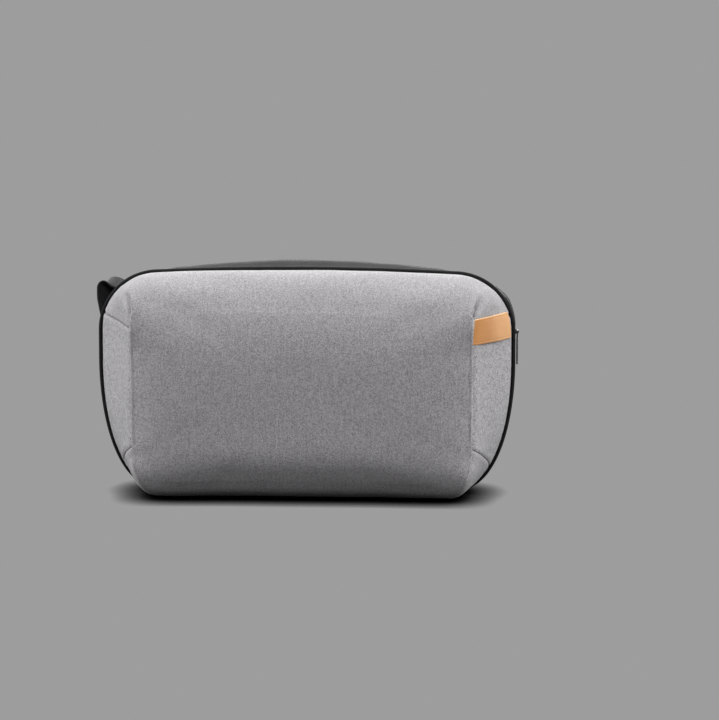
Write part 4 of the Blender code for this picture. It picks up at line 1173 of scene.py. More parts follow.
# ===================================================================================================================
# Back body
# ===================================================================================================================
def back_params(e):
    t = e / BACK_DEPTH
    edge = round_off((e - 31 * MM) / (BACK_DEPTH - 31 * MM), 2.0)
    rise = max(0.0, min(1.0, (e - 9 * MM) / (16 * MM)))
    return (HALF_WIDTH - 11 * MM * t ** 1.5 - 14 * MM * edge,
            TOP_Z - 1.6 * MM + 4.2 * MM * rise * rise * (3 - 2 * rise) - 14 * MM * edge,
            BOTTOM_Z + 11 * MM * edge, TOP_RADIUS + 17 * MM * min(1.0, t / 0.5) - 10 * MM * edge,
            LOW_CURVE_X + 4 * MM * t - 12 * MM * edge, LOW_CURVE_Z - 14 * MM * edge, CROWN_DROP + 3.0 * MM * min(1.0, t / 0.4))


def back_grid(inset=0.0, fine=True):
    rows, ys = [], []
    shrink = (BACK_DEPTH - inset) / BACK_DEPTH
    if fine:
        seam = (HALF_WIDTH, TOP_Z, BOTTOM_Z, TOP_RADIUS, LOW_CURVE_X, LOW_CURVE_Z, CROWN_DROP)
        for e, extra in ((11.45, 3.3), (11.2, 2.4), (11.35, 1.65)):      # hem on the seam outline, where the tape is sewn on
            rows.append(half_ring(seam, z_up(0), z_low(0), inset=inset + extra * MM)[0])
            ys.append(e * MM)
        rows.append(half_ring(back_params(12.3 * MM), z_up(0), z_low(0), inset=inset)[0])
        ys.append(12.3 * MM)
        depths = list(np.linspace(13, 31, 9)) + [32.5, 34.5, 37, 39.5, 41.5, 43, 44, 44.6, 44.9, 45.0]
    else:
        depths = list(np.linspace(11.6, 31, 6)) + [35, 39, 42, 44, 45.0]
    for e in depths:
        rows.append(half_ring(back_params(e * MM), z_up(0), z_low(0), inset=inset)[0])
        ys.append(e * MM)
    rim, centre = rows[-1], np.array([0.0, 92 * MM])
    for f in np.linspace(0.03, 0.97, 30 if fine else 14):
        rows.append(centre + (rim - centre) * (1 - f))
        ys.append(BACK_DEPTH)
    grid = np.empty((len(rows), R, 3))
    for j, (ring, y) in enumerate(zip(rows, ys)):
        whole = full_ring(ring)
        grid[j, :, 0], grid[j, :, 1], grid[j, :, 2] = whole[:, 0], y * shrink, whole[:, 1]
    return grid


def back_uv(p):
    x, y, z = p[:, 0], p[:, 1], p[:, 2]
    return np.stack([x, z + np.where(z > 0.09, -1.0, 1.0) * (y - 0.045)], 1)


back0 = back_grid()
BROWS = len(back0)
bn = grid_normals(back0).reshape(-1, 3)
bp = back0.reshape(-1, 3)
bj = np.repeat(np.arange(BROWS), R)
bump = value_noise(bp, 18.0, 21.0) * 0.5 * MM + value_noise(bp, 60.0, 25.0) * 0.12 * MM
edge_seam = np.exp(-((bp[:, 1] - 33.5 * MM) / (1.0 * MM)) ** 2)
bump += -0.9 * MM * edge_seam + 0.5 * MM * np.exp(-((bp[:, 1] - 36.3 * MM) / (1.3 * MM)) ** 2) * (bj < 24)
bump += 0.45 * MM * np.exp(-((bp[:, 1] - 22 * MM) / (6 * MM)) ** 2)
back_skin = (bp + bn * (bump * np.clip((bj - 2) / 4.0, 0, 1))[:, None])
back_skin[:, 1] = np.minimum(back_skin[:, 1], 45.2 * MM)
back_skin = back_skin.reshape(BROWS, R, 3)
verts, faces, uvs = region_mesh(back_skin, lambda j, i, s: True, back_uv)
piece = sheet_piece("back_fabric", verts, faces, uvs, M["black"], 1.5 * MM)
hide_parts("back_shell")
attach(piece, "bag_back")

row = int(np.argmin(abs(back0[:34, 0, 1] - 36.3 * MM)))
seam_rows = []
for k, off in ((row, 0.0),):
    ring = back_skin[k][:, :]
    ring = np.concatenate([ring, ring[:1]])
    nn = grid_normals(back_skin)[k]
    nn = np.concatenate([nn, nn[:1]])
    seam_rows.append(stitch_row(ring, nn, 3.4 * MM, 2.4 * MM, 0.26 * MM, 0.10 * MM))
piece = join("back_topstitch", seam_rows, M["thread_grey_dark"])
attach(piece, "bag_back")

piece = bowl("back_lining", back_grid(3.2 * MM, fine=False), dimpled(back_grid(6.4 * MM, fine=False), 0.35 * MM, 8.0), M["lining"], back_uv)
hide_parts("back_foam_liner")
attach(piece, "bag_back")


# ===================================================================================================================
# Padded pieces: back pads, dividers and their flaps, the base pad
# ===================================================================================================================
def rounded_box(name, lo, hi, radius, mat, segments=3):
    bm = bmesh.new()
    bmesh.ops.create_cube(bm, size=1.0)
    lo, hi = Vector(lo), Vector(hi)
    for v in bm.verts:
        v.co = Vector([(lo[k] + hi[k]) / 2 + v.co[k] * (hi[k] - lo[k]) for k in range(3)])
    bmesh.ops.bevel(bm, geom=bm.edges[:], offset=radius, segments=segments, affect="EDGES", profile=0.5)
    mesh = bpy.data.meshes.new(name)
    bm.to_mesh(mesh)
    bm.free()
    mesh.materials.append(mat)
    mesh.shade_smooth()
    o = bpy.data.objects.new(name, mesh)
    bpy.context.scene.collection.objects.link(o)
    return o


def planar_uv(obj, a, b):
    """UVs in metres from two of the axes, turned on the faces that look along one of them."""
    mesh = obj.data
    layer = mesh.uv_layers.get("UVMap") or mesh.uv_layers.new(name="UVMap")
    c = 3 - a - b
    uv = np.empty((len(mesh.loops), 2))
    co = coords(mesh)
    for poly in mesh.polygons:
        n = [abs(x) for x in poly.normal]
        for li in poly.loop_indices:
            p = co[mesh.loops[li].vertex_index]
            if n[c] >= max(n[a], n[b]) * 0.8:
                uv[li] = p[a], p[b]
            elif n[a] > n[b]:
                uv[li] = p[c], p[b]
            else:
                uv[li] = p[a], p[c]
    layer.data.foreach_set("uv", uv.astype(np.float32).ravel())


def padded(obj, axis, cap, pressure=4.0, voxel=4 * MM, channels=(), pins=None, frames=18, mat=None):
    """Makes a soft pad of a closed shape: an even remesh, a cloth simulation under pressure, then seam channels and a smooth finish.
    axis is the pad's thin direction and channels are functions that return a 0..1 depth mask."""
    lo, hi = coords(obj.data).min(0), coords(obj.data).max(0)
    voxel_copy(obj, voxel)
    p = coords(obj.data)
    held = pins(p) if pins is not None else None
    rest, move = run_cloth(obj, pressure, frames, held)
    move = capped(move, cap)
    p = rest + move
    for fn, depth in channels:
        centre = (lo[axis] + hi[axis]) / 2
        side = np.sign(p[:, axis] - centre)
        p[:, axis] -= side * fn(p) * depth
    obj.data.vertices.foreach_set("co", p.ravel())
    obj.data.update()
    add_mod(obj, "SUBSURF", levels=1, render_levels=1)
    bake(obj)
    obj.data.materials.clear()
    obj.data.materials.append(mat)
    obj.data.shade_smooth()
    return obj


def groove(axis, at, width):
    return lambda p: np.exp(-((p[:, axis] - at) / width) ** 2)


for side, label in ((-1, "left"), (1, "right")):
    lo, hi = sorted((side * 12 * MM, side * 118 * MM))
    pad = rounded_box(f"{label}_back_pad", (lo + 1.5 * MM, 44.0 * MM, 31.5 * MM), (hi - 1.5 * MM, 49.8 * MM, 146.5 * MM), 2.8 * MM, M["mesh"])
    # the corners of the pad are rounded off in plan
    co = coords(pad.data)
    quilt = [(groove(2, z * MM, 1.9 * MM), 1.7 * MM) for z in (60, 89, 118)]
    padded(pad, 1, 2.0 * MM, 4.0, 3.2 * MM, quilt, pins=lambda p: (p[:, 1] < 45.2 * MM).astype(float), mat=M["mesh"])
    co = coords(pad.data)
    cx, cz, rr = (lo + hi) / 2, 89 * MM, 18 * MM
    hx, hz = (hi - lo) / 2, 59 * MM
    qx, qz = abs(co[:, 0] - cx) - (hx - rr), abs(co[:, 2] - cz) - (hz - rr)
    far = np.hypot(np.maximum(qx, 0), np.maximum(qz, 0))
    k = np.where((qx > 0) & (qz > 0) & (far > rr), rr / np.maximum(far, 1e-9), 1.0)
    co[:, 0] = np.where(k < 1, cx + np.sign(co[:, 0] - cx) * ((hx - rr) + qx * k), co[:, 0])
    co[:, 2] = np.where(k < 1, cz + np.sign(co[:, 2] - cz) * ((hz - rr) + qz * k), co[:, 2])
    co[:, 1] = np.minimum(co[:, 1], 51.4 * MM)
    pad.data.vertices.foreach_set("co", co.ravel())
    pad.data.update()
    planar_uv(pad, 0, 2)
    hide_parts(f"back_pad_{label}")
    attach(pad, "bag_back")
    # a bound edge round the pad
    a = np.linspace(0, 2 * math.pi, 161)[:-1]
    ca, sa = np.cos(a), np.sin(a)
    ring = np.stack([cx + np.sign(ca) * np.maximum(hx - rr, 0) * (abs(ca) > 1e-9) + rr * ca, np.full(len(a), 45.8 * MM),
                     cz + np.sign(sa) * (hz - rr) * (abs(sa) > 1e-9) + rr * sa], 1)
    s = np.r_[0, np.cumsum(np.linalg.norm(np.diff(np.concatenate([ring, ring[:1]]), axis=0), axis=1))]
    closed_ring = np.concatenate([ring, ring[:1]])
    at = np.linspace(0, s[-1], 260, endpoint=False)
    even = np.stack([np.interp(at, s, closed_ring[:, k]) for k in range(3)], 1)
    v, f, u = round_tube(even, 1.5 * MM, 10, closed=True, squash=(1.0, 0.9), across=along_y(even))
    edge = outward(new_object(f"{label}_pad_binding", v, f, M["binding"], u), Vector((cx, 0.03, cz)))
    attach(edge, "bag_back")

for side, label in ((-1, "left"), (1, "right")):
    box_lo, box_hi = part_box(f"divider_{label}")
    pad = rounded_box(f"{label}_divider", box_lo + Vector((0.6, 0.6, 0.4)) * MM, box_hi - Vector((0.6, 0.6, 0.8)) * MM, 2.2 * MM, M["lining"])
    chan = [(groove(2, z * MM, 1.6 * MM), 0.9 * MM) for z in (48, 82)] + [(groove(2, 113.0 * MM, 1.3 * MM), 0.8 * MM)]
    padded(pad, 0, 1.3 * MM, 3.0, 3.2 * MM, chan, mat=M["pad_face"])
    planar_uv(pad, 1, 2)
    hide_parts(f"divider_{label}")
    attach(pad, "bag_back")
    box_lo, box_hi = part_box(f"divider_flap_{label}")
    flap = rounded_box(f"{label}_divider_flap", box_lo + Vector((0.6, 0.6, 0.4)) * MM, box_hi - Vector((0.6, 0.6, 0.8)) * MM, 2.2 * MM, M["lining"])
    padded(flap, 0, 1.2 * MM, 3.0, 3.2 * MM, [(groove(2, 119.0 * MM, 1.3 * MM), 0.8 * MM), (groove(2, 140.0 * MM, 1.6 * MM), 0.9 * MM)], mat=M["pad_face"])
    planar_uv(flap, 1, 2)
    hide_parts(f"divider_flap_{label}")
    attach(flap, f"flap_{label}")

box_lo, box_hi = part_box("base_foam")
pad = rounded_box("base_pad", box_lo + Vector((0.5, 0.5, 0.2)) * MM, box_hi - Vector((0.5, 0.5, 0.4)) * MM, 1.8 * MM, M["lining"])
padded(pad, 2, 1.0 * MM, 3.0, 3.2 * MM, [(groove(0, x * MM, 1.8 * MM), 0.6 * MM) for x in (-80, -25, 25, 80)], mat=M["lining"])
planar_uv(pad, 0, 1)
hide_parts("base_foam")
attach(pad, "bag_back")


# ===================================================================================================================
# Flat pockets inside
# ===================================================================================================================
def flat_pocket(name, x_half, z0, z1, y, radius, thick, bulge, mat, uv_turn=0, seed=1.0, nx=70, nz=34, wide_top=0.0):
    """A closed sheet with rounded corners that bellies towards +Y or -Y by bulge."""
    outer, inner, uvs = [], [], []
    us, vs = np.linspace(-1, 1, nx), np.linspace(-1, 1, nz)
    cz, hz = (z0 + z1) / 2, (z1 - z0) / 2
    for v_ in vs:
        for u_ in us:
            x, z = u_ * x_half, v_ * hz
            qx, qz = abs(x) - (x_half - radius), abs(z) - (hz - radius)
            if qx > 0 and qz > 0:
                m = max(qx, qz) / math.hypot(qx, qz)
                x = math.copysign(x_half - radius + qx * m, x)
                z = math.copysign(hz - radius + qz * m, z)
            b = bulge * (1 - abs(u_) ** 4) * (1 - v_ ** 4)
            outer.append((x, y + b, cz + z))
            uvs.append((x, cz + z))
    p = np.array(outer)
    w = value_noise(p, 26.0, seed) * abs(bulge) * 0.35
    p[:, 1] += w * (1 - np.repeat(abs(vs) ** 4, nx)) * (1 - np.tile(abs(us) ** 4, nz))
    q = p - np.array([0, thick, 0])
    n = nx * nz
    faces = grid_faces(nz, nx) + [f[::-1] for f in grid_faces(nz, nx, base=n)]
    rim = [i for i in range(nx)] + [j * nx + nx - 1 for j in range(1, nz)] + [(nz - 1) * nx + i for i in range(nx - 2, -1, -1)] + [j * nx for j in range(nz - 2, 0, -1)]
    faces += [(rim[k], rim[(k + 1) % len(rim)], n + rim[(k + 1) % len(rim)], n + rim[k])[::-1] for k in range(len(rim))]
    obj = new_object(name, np.concatenate([p, q]), faces, mat, uvs + uvs)
    return triangulated(obj), p[rim]


def binding_round(name, rim, half_width, thick, mat, y, lift=0.0):
    path = np.concatenate([rim, rim[:1]])
    s = np.r_[0, np.cumsum(np.linalg.norm(np.diff(path, axis=0), axis=1))]
    at = np.linspace(0, s[-1], 320, endpoint=False)
    even = np.stack([np.interp(at, s, path[:, k]) for k in range(3)], 1)
    even[:, 1] = y
    t = np.roll(even, -1, 0) - np.roll(even, 1, 0)
    across = np.stack([t[:, 2], np.zeros(len(t)), -t[:, 0]], 1)
    v, f, u = flat_ribbon(even, across, half_width * 2, thick, sides=5, closed=True)
    return outward(new_object(name, v, f, mat, u), Vector((0, y, 0.08)))


pocket, rim = flat_pocket("door_pocket", 110.5 * MM, 41 * MM, 115.5 * MM, -45.9 * MM, 11 * MM, 1.1 * MM, 0.9 * MM, M["pocket_mesh"], seed=12.0)
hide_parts("inner_pocket_panel")
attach(pocket, "front_door")
edge = binding_round("door_pocket_binding", rim, 2.6 * MM, 2.0 * MM, M["binding"], -46.5 * MM)
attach(edge, "front_door")
line = np.stack([np.linspace(-111, 111, 160) * MM, np.full(160, -46.7 * MM), np.full(160, 122 * MM)], 1)
z_across = np.repeat(np.array([[0, 0, 1.0]]), 160, 0)
v, f, u = flat_ribbon(line, z_across, 11 * MM, 0.9 * MM, sides=9)
ptape = new_object("door_pocket_tape", v, f, M["tape"], u)
triangulated(ptape)
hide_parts("inner_pocket_zip_tape")
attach(ptape, "front_door")
coil = []
for k in range(126):
    x = (-108 + 216 * k / 125) * MM
    for sgn in (-1, 1):
        path = np.array([[x + 0.45 * MM * sgn, -45.9 * MM, (122 - 1.5 * sgn) * MM], [x + 0.45 * MM * sgn, -45.55 * MM, (122 - 0.9 * sgn) * MM],
                         [x + 0.45 * MM * sgn, -45.55 * MM, (122 + 0.5 * sgn) * MM], [x + 0.45 * MM * sgn, -45.9 * MM, (122 + 0.8 * sgn) * MM]])
        coil.append(round_tube(path, 0.36 * MM, 6, across=np.repeat(np.array([[1.0, 0, 0]]), 4, 0)))
coil = join("door_pocket_coil", coil, M["coil"])
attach(coil, "front_door")

sleeve, rim = flat_pocket("tablet_pocket", 121 * MM, 22.6 * MM, 133.2 * MM, 35.9 * MM, 8 * MM, 1.1 * MM, -1.2 * MM, M["pad_face"], seed=31.0)
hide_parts("tablet_sleeve")
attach(sleeve, "bag_back")
line = np.stack([np.linspace(-118, 118, 120) * MM, np.full(120, 35.2 * MM), 135.4 * MM + 0.8 * MM * np.sin(np.linspace(0, 6.28, 120))], 1)
v, f, u = flat_ribbon(line, np.repeat(np.array([[0, 0, 1.0]]), 120, 0), 6.2 * MM, 2.1 * MM, sides=7, crown=0.3 * MM)
edge = new_object("tablet_pocket_binding", v, f, M["binding"], u)
triangulated(edge)
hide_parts("sleeve_binding")
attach(edge, "bag_back")

# Side webs: pleated fabric, which on the bag fans out as the door opens; here it is built in one fixed shape.
for side, label in ((-1, "left"), (1, "right")):
    zs = np.linspace(58.5, 123.5, 30) * MM
    ts = np.linspace(0, 1, 49)
    verts, uvs = [], []
    for z in zs:
        k = (z - 58 * MM) / (66 * MM)
        pull = 2 * MM * (1 - min(1.0, k / 0.5))
        for t in ts:
            fold = 0.5 - 0.5 * math.cos(t * math.pi * 2 * 4)
            x = 151.6 + 5.9 * fold * (0.75 + 0.25 * math.sin(3 * k + 5 * t)) 
            verts.append((side * (x * MM - pull), (1.6 + 8.4 * t) * MM, z))
            uvs.append((t * 0.05, z))
    web = new_object(f"{label}_side_web", verts, grid_faces(len(zs), len(ts)), M["lining"], uvs)
    add_mod(web, "SOLIDIFY", thickness=0.5 * MM, offset=0.0, use_rim=True)
    bake(web)
    web.data.shade_smooth()
    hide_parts(f"side_web_{label}")
    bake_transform(web)


# ===================================================================================================================
# Leather tab, loops, straps and hardware
# ===================================================================================================================
def rounded_plate_grid(nu, nv):
    u = np.linspace(-1, 1, nu)
    v = np.linspace(-1, 1, nv)
    u = np.sign(u) * (1 - (1 - abs(u)) ** 1.25)
    v = np.sign(v) * (1 - (1 - abs(v)) ** 1.25)
    return u, v


def half_width_at(z):
    """Half the width of the seam outline at a height in the top corner."""
    dz = z - CORNER_Z
    return CORNER_X + (math.sqrt(max(0.0, TOP_RADIUS ** 2 - dz ** 2)) if dz > 0 else TOP_RADIUS)


TAB_Z, TAB_HALF = 141.6 * MM, 11 * MM
seam_pts = np.array([skin[SEAM_J, i] for i in range(APEX, LOW_END)])[::-1]      # rising in z
SEAM_FIT = [np.polyfit(seam_pts[(seam_pts[:, 2] > 112 * MM) & (seam_pts[:, 2] < 147 * MM), 2], seam_pts[(seam_pts[:, 2] > 112 * MM) & (seam_pts[:, 2] < 147 * MM), k], 1)
            for k in (0, 1)]


def tab_base(t, z):
    """A point on the chord from the upright seam to the piping at height z, and the outward direction there."""
    a0 = np.array([np.polyval(SEAM_FIT[0], z) + 1.2 * MM + 0.05 * (z - 0.1416), np.polyval(SEAM_FIT[1], z) + 0.2 * MM])
    b0 = np.array([half_width_at(z) - 4.2 * MM, -3.2 * MM])
    way = (b0 - a0) / np.linalg.norm(b0 - a0)
    return a0 + (b0 - a0) * t, np.array([way[1], -way[0]]), float(np.linalg.norm(b0 - a0))


nu, nv = 61, 37
us, vs = rounded_plate_grid(nu, nv)
TAB_LEN = tab_base(0, TAB_Z)[2]
front_side, back_side, tab_uv, edge_mask = [], [], [], []
for v_ in vs:
    for u_ in us:
        a, h = (u_ * 0.5 + 0.5) * TAB_LEN, v_ * TAB_HALF
        r = 1.2 * MM
        qa, qh = abs(u_) * TAB_LEN / 2 - (TAB_LEN / 2 - r), abs(h) - (TAB_HALF - r)
        if qa > 0 and qh > 0:
            m = max(qa, qh) / math.hypot(qa, qh)
            a = TAB_LEN / 2 + math.copysign(TAB_LEN / 2 - r + qa * m, u_)
            h = math.copysign(TAB_HALF - r + qh * m, h)
        t = a / TAB_LEN
        belly = 1.5 * MM + 1.5 * MM * math.sin(math.pi * t) ** 0.8 - 1.2 * MM * t ** 6 + 0.12 * MM * math.sin(5 * t + 2 * v_)
        from_edge = min((1 - abs(u_)) * TAB_LEN / 2, (1 - abs(v_)) * TAB_HALF)
        round_edge = 0.95 * MM * math.sqrt(max(0.0, 1 - (1 - min(1.0, from_edge / (1.0 * MM))) ** 2))
        crease = -0.22 * MM * math.exp(-((from_edge - 2.1 * MM) / (0.35 * MM)) ** 2)
        z = TAB_Z + h
        base, out2, _ = tab_base(t, z)
        o_f = out2 * (belly + round_edge + crease)
        o_b = out2 * (belly - round_edge * 0.9)
        front_side.append((base[0] + o_f[0], base[1] + o_f[1], z))
        back_side.append((base[0] + o_b[0], base[1] + o_b[1], z))
        tab_uv.append((a, h))
        edge_mask.append(max(0.0, 1 - from_edge / (0.55 * MM)))
n = nu * nv
rim = [i for i in range(nu)] + [j * nu + nu - 1 for j in range(1, nv)] + [(nv - 1) * nu + i for i in range(nu - 2, -1, -1)] + [j * nu for j in range(nv - 2, 0, -1)]
faces = grid_faces(nv, nu) + [f[::-1] for f in grid_faces(nv, nu, base=n)]
faces += [(rim[k], rim[(k + 1) % len(rim)], n + rim[(k + 1) % len(rim)], n + rim[k])[::-1] for k in range(len(rim))]
tab = outward(triangulated(new_object("leather_tag", front_side + back_side, faces, M["leather"], tab_uv + tab_uv)), Vector((0.15, -0.02, 0.142)))
attr = tab.data.color_attributes.new(name="edge", type="FLOAT_COLOR", domain="POINT")
level = np.array(edge_mask + [1.0 if m > 0 else 0.0 for m in edge_mask])
attr.data.foreach_set("color", np.repeat(level[:, None], 4, 1).astype(np.float32).ravel())
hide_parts("leather_tab")
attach(tab, "front_door")


def catmull(points, per_span):
    out = []
    padded_ = [points[0]] + list(points) + [points[-1]]
    for i in range(len(points) - 1):
        p0, p1, p2, p3 = [np.array(p, float) for p in padded_[i:i + 4]]
        for k in range(per_span):
            t = k / per_span
            out.append(0.5 * (2 * p1 + (p2 - p0) * t + (2 * p0 - 5 * p1 + 4 * p2 - p3) * t * t + (3 * p1 - p0 - 3 * p2 + p3) * t ** 3))
    out.append(np.array(points[-1], float))
    return np.array(out)


def end_stitches(centres, across, width, thick, at_mm, pitch=2.2 * MM):
    """Two rows of bar tacks across a strap, at distances along it."""
    w, f, t = frames_along(centres, across)
    s = np.r_[0, np.cumsum(np.linalg.norm(np.diff(centres, axis=0), axis=1))]
    parts = []
    for at in at_mm:
        for face in (1, -1):
            c = np.array([np.interp(at * MM, s, centres[:, k]) for k in range(3)])
            k = int(np.argmin(abs(s - at * MM)))
            line = np.array([c + w[k] * x + f[k] * face * thick / 2 for x in np.linspace(-width / 2 + 1.5 * MM, width / 2 - 1.5 * MM, 10)])
            parts.append(stitch_row(line, np.repeat((f[k] * face)[None], 10, 0), pitch, 1.7 * MM, 0.26 * MM, 0.05 * MM))
    return parts


LOOP_Y = 23.5 * MM
# (x, z, how far the front edge is turned in) along the left loop, an ear that stands off the corner
left_loop = [(-169.8, 134, 0.0), (-170.2, 141, 0.08), (-170.2, 149, 0.30), (-168.8, 156, 0.80), (-168.3, 163.0, 1.0), (-169.0, 168.4, 0.75), (-168.0, 171.4, 0.38),
             (-164.2, 171.8, 0.10), (-158.5, 170.2, 0.0), (-152.5, 168.3, 0.0), (-147.0, 166.4, 0.0)]
curve4 = catmull([(x * MM, LOOP_Y, z * MM, t) for x, z, t in left_loop], 8)
angles = np.linspace(-9, 46, 60)
right_r = TOP_RADIUS - 0.9 * MM * smoothstep(46, 12, angles) - 2.8 * MM * smoothstep(26, 46, angles) - 1.6 * MM * smoothstep(4, -9, angles)
right_loop = np.stack([CORNER_X + right_r * np.cos(np.radians(angles)), np.full(60, LOOP_Y), CORNER_Z + right_r * np.sin(np.radians(angles))], 1)
share = np.linspace(0, 1, len(curve4))
left_across = np.stack([curve4[:, 3], np.ones(len(curve4)), 0.34 * smoothstep(0.60, 0.78, share) * smoothstep(1.0, 0.8, share)], 1)
for label, path, across in (("left", curve4[:, :3], left_across), ("right", right_loop, along_y(right_loop))):
    v, f, u = flat_ribbon(path, across, 20 * MM, 1.6 * MM, sides=13)
    loop = outward(triangulated(new_object(f"{label}_webbing_loop", v, f, M["webbing"], u)), Vector((path[:, 0].mean() * 0.9, LOOP_Y, 0.14)))
    total = float(np.linalg.norm(np.diff(path, axis=0), axis=1).sum()) / MM
    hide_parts(f"{label}_side_loop")
    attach(loop, "bag_back")
    st = join(f"{label}_loop_tacks", end_stitches(path, across, 20 * MM, 1.6 * MM, (3.0, 5.2, total - 5.2, total - 3.0)), M["thread_black"])
    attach(st, "bag_back")

RING_X, RING_Y, RING_Z, RING_DROP = 118 * MM, 53.5 * MM, 174.5 * MM, 12 * MM


def bar_wrap(cy, cz, radius, start, end, count):
    return [(cy + radius * math.cos(math.radians(start + (end - start) * i / count)),
             cz + radius * math.sin(math.radians(start + (end - start) * i / count))) for i in range(count + 1)]


for side, label in ((-1, "left"), (1, "right")):
    r, half, low, high = 2.2 * MM, 16.5 * MM, RING_Z - RING_DROP, RING_Z
    path = []
    for cx, cz, a0 in ((half - r, high - r, 0), (-half + r, high - r, 90), (-half + r, low + r, 180), (half - r, low + r, 270)):
        path += [(side * RING_X + cx + r * math.cos(math.radians(a0 + 90 * i / 8)), RING_Y, cz + r * math.sin(math.radians(a0 + 90 * i / 8))) for i in range(9)]
    path = np.array(path)
    v, f, u = round_tube(path, 1.5 * MM, 16, closed=True, across=along_y(path))
    wire = outward(new_object(f"{label}_strap_ring", v, f, M["metal"], u), Vector((side * RING_X, RING_Y, RING_Z - 6 * MM)))
    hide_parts(f"strap_ring_{label}")
    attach(wire, "strap")
    wrap = [(46.3 * MM, 157 * MM), (46.5 * MM, 165 * MM), (48.0 * MM, 171.6 * MM)] + bar_wrap(RING_Y, RING_Z, 2.45 * MM, -120, 150, 18) + \
        [(49.2 * MM, 174.6 * MM), (47.6 * MM, 174.4 * MM)]
    path = np.array([(side * RING_X, y, z) for y, z in wrap])
    across = np.repeat(np.array([[1.0, 0, 0]]), len(path), 0)
    v, f, u = flat_ribbon(path, across, 23 * MM, 1.2 * MM, sides=13)
    tabw = outward(triangulated(new_object(f"{label}_ring_tab", v, f, M["webbing"], u)), Vector((side * RING_X, 0.052, 0.168)))
    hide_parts(f"ring_tab_{label}")
    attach(tabw, "bag_back")
    st = join(f"{label}_tab_tacks", end_stitches(path, across, 23 * MM, 1.2 * MM, (3.0, 5.4)), M["thread_black"])
    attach(st, "bag_back")

low_bar = RING_Z - RING_DROP
half_path = [(-RING_X, RING_Y - 2.5 * MM, low_bar - 13 * MM, 0), (-RING_X, RING_Y - 2.5 * MM, low_bar - 5 * MM, 0)]
half_path += [(-RING_X, y, z, 0) for y, z in bar_wrap(RING_Y, low_bar, 2.5 * MM, 180, 0, 10)]
turn = [(-118, 57.0, 150, 0), (-118.5, 60.5, 132, 0), (-121, 65, 112, 28), (-124.5, 70, 88, 68), (-125.5, 72.5, 62, 90),
        (-121.5, 73, 36, 90), (-109, 73, 16, 90), (-88, 73, 6.2, 90), (-64, 73, 4.6, 90), (0, 73, 4.6, 90)]
half_path += [tuple(p) for p in catmull([(x * MM, y * MM, z * MM, t) for x, y, z, t in turn], 9)]
lc = np.array([p[:3] for p in half_path])
lw = np.array([(math.cos(math.radians(p[3])), math.sin(math.radians(p[3])), 0) for p in half_path])
rc, rw = lc[:-1][::-1] * np.array([-1, 1, 1]), lw[:-1][::-1] * np.array([-1, 1, 1])
sc, sw = np.concatenate([lc, rc]), np.concatenate([lw, rw])
for i in range(1, len(sw)):
    if (sw[i] * sw[i - 1]).sum() < 0:
        sw[i] = -sw[i]
v, f, u = flat_ribbon(sc, sw, 23 * MM, 1.8 * MM, sides=13)
strap = triangulated(new_object("carry_strap", v, f, M["webbing"], u))
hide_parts("shoulder_strap")
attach(strap, "strap")
total = float(np.linalg.norm(np.diff(sc, axis=0), axis=1).sum()) / MM
st = join("strap_tacks", end_stitches(sc, sw, 23 * MM, 1.8 * MM, (2.6, 4.8, total - 4.8, total - 2.6)), M["thread_black"])
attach(st, "strap")


def dress(name, mat, bevel=None):
    """A CAD node that stays as it is, with a finish and softened edges."""
    o = nodes[name]
    o.data.materials.clear()
    o.data.materials.append(mat)
    if bevel:
        add_mod(o, "BEVEL", width=bevel, segments=3, limit_method="ANGLE", angle_limit=math.radians(35), harden_normals=False)


for name in ("main_zip_slider", "main_zip_pull", "inner_pocket_slider", "inner_pocket_pull"):
    dress(name, M["metal"], 0.28 * MM)
for name in ("zip_stop_left", "zip_stop_right"):
    dress(name, M["metal"], 0.2 * MM)
for name in ("strap_adjuster", "adjuster_lever"):
    dress(name, M["plastic"], 0.5 * MM)
dress("base_board", M["board"], 0.3 * MM)
dress("base_panel", M["rubber"], 0.25 * MM)


# ===================================================================================================================
# Floor, light and camera
# ===================================================================================================================
BACKDROP = 0.337          # the grey of the sweep, in linear light


def backdrop_material():
    g = Graph("sweep")
    g.t.nodes.remove(g.bsdf)
    out = g.t.nodes["Material Output"]
    # To the camera the floor glows at the backdrop grey and is darkened near the bag by ambient occlusion: a painted
    # contact shadow. Other rays see a dark diffuse floor.
    ao = g.node("ShaderNodeAmbientOcclusion", samples=12, only_local=False)
    ao.inputs["Distance"].default_value = 26 * MM
    shade = g.remap(ao.outputs["AO"], 0.20, 0.96)
    shade = g.math("POWER", shade, 1.6)
    near = g.node("ShaderNodeAmbientOcclusion", samples=8)
    near.inputs["Distance"].default_value = 8 * MM
    shade = g.math("MULTIPLY", shade, g.remap(near.outputs["AO"], 0.1, 0.9, 0.35, 1.0))
    level = g.math("MULTIPLY", shade, BACKDROP)
    emit = g.node("ShaderNodeEmission")
    g.put(emit.inputs[0], g.vec(level, level, level))
    diffuse = g.node("ShaderNodeBsdfDiffuse")
    diffuse.inputs[0].default_value = (0.075, 0.075, 0.075, 1)
    path = g.node("ShaderNodeLightPath")
    mixer = g.node("ShaderNodeMixShader")
    g.put(mixer.inputs[0], path.outputs["Is Camera Ray"])
    g.put(mixer.inputs[1], diffuse.outputs[0])
    g.put(mixer.inputs[2], emit.outputs[0])
    g.put(out.inputs[0], mixer.outputs[0])
    return g.mat


floor = new_object("floor", [(-4, -4, -0.0006), (4, -4, -0.0006), (4, 4, -0.0006), (-4, 4, -0.0006)], [(0, 1, 2, 3)],
                   backdrop_material(), smooth=False)

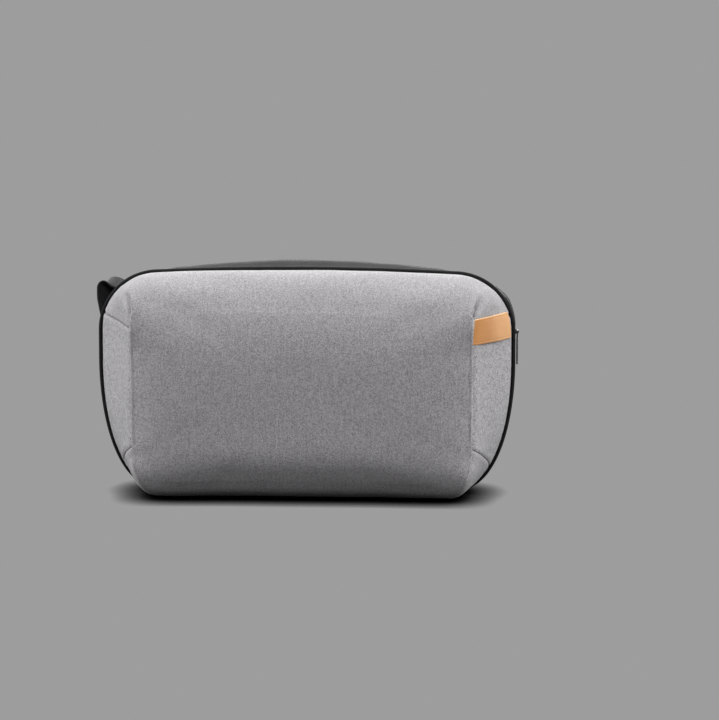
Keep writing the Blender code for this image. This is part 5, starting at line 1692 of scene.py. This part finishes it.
world = bpy.data.worlds.new("studio")
bpy.context.scene.world = world
world.use_nodes = True
wt = world.node_tree
bg = wt.nodes["Background"]
bg.inputs[0].default_value = (0.50, 0.50, 0.51, 1)
bg.inputs[1].default_value = 0.06
bg2 = wt.nodes.new("ShaderNodeBackground")
bg2.inputs[0].default_value = (BACKDROP, BACKDROP, BACKDROP, 1)
bg2.inputs[1].default_value = 1.0
lp = wt.nodes.new("ShaderNodeLightPath")
mx = wt.nodes.new("ShaderNodeMixShader")
wt.links.new(lp.outputs["Is Camera Ray"], mx.inputs[0])
wt.links.new(bg.outputs[0], mx.inputs[1])
wt.links.new(bg2.outputs[0], mx.inputs[2])
wt.links.new(mx.outputs[0], wt.nodes["World Output"].inputs[0])


def softbox(name, place, aim, size, power, tint=(1, 1, 1)):
    data = bpy.data.lights.new(name, "AREA")
    data.shape, data.size, data.size_y = "RECTANGLE", size[0], size[1]
    data.energy, data.color = power, tint
    o = bpy.data.objects.new(name, data)
    bpy.context.scene.collection.objects.link(o)
    o.location = place
    o.rotation_euler = (Vector(aim) - Vector(place)).to_track_quat("-Z", "Y").to_euler()
    return o


softbox("overhead", (0.05, -0.06, 1.15), (0, -0.01, 0.10), (1.5, 0.9), 4.8)
softbox("rear_top", (0.0, 0.50, 1.00), (0, 0, 0.10), (1.5, 0.6), 10.5)
softbox("side_right", (1.20, -0.10, 0.55), (0.05, -0.02, 0.10), (0.7, 0.7), 13.2)
softbox("side_left", (-1.20, -0.10, 0.55), (-0.05, -0.02, 0.10), (0.7, 0.7), 13.4)
softbox("front_fill", (0.10, -1.62, 1.20), (0, 0, 0.10), (1.4, 0.6), 18.6)
softbox("rear_fill", (0.0, 1.55, 0.62), (0, 0, 0.10), (1.4, 0.7), 17.0)

YAW, TILT, LENS = math.radians(3.0), math.radians(8.5), 200.0
aim_f = Vector((-math.sin(YAW) * math.cos(TILT), math.cos(YAW) * math.cos(TILT), -math.sin(TILT)))
aim_r = Vector((math.cos(YAW), math.sin(YAW), 0))
aim_u = aim_r.cross(aim_f)
target = aim_r * 0.0436 + aim_u * 0.1091
cam_data = bpy.data.cameras.new("camera")
cam_data.lens, cam_data.sensor_width = LENS, 36.0
cam_data.clip_end = 50.0
cam = bpy.data.objects.new("camera", cam_data)
bpy.context.scene.collection.objects.link(cam)
cam.location = target - aim_f * (LENS * 16.6 * MM)
cam.rotation_euler = aim_f.to_track_quat("-Z", "Y").to_euler()
bpy.context.scene.camera = cam
bpy.context.scene.view_settings.view_transform = "Standard"
bpy.context.scene.view_settings.look = "None"
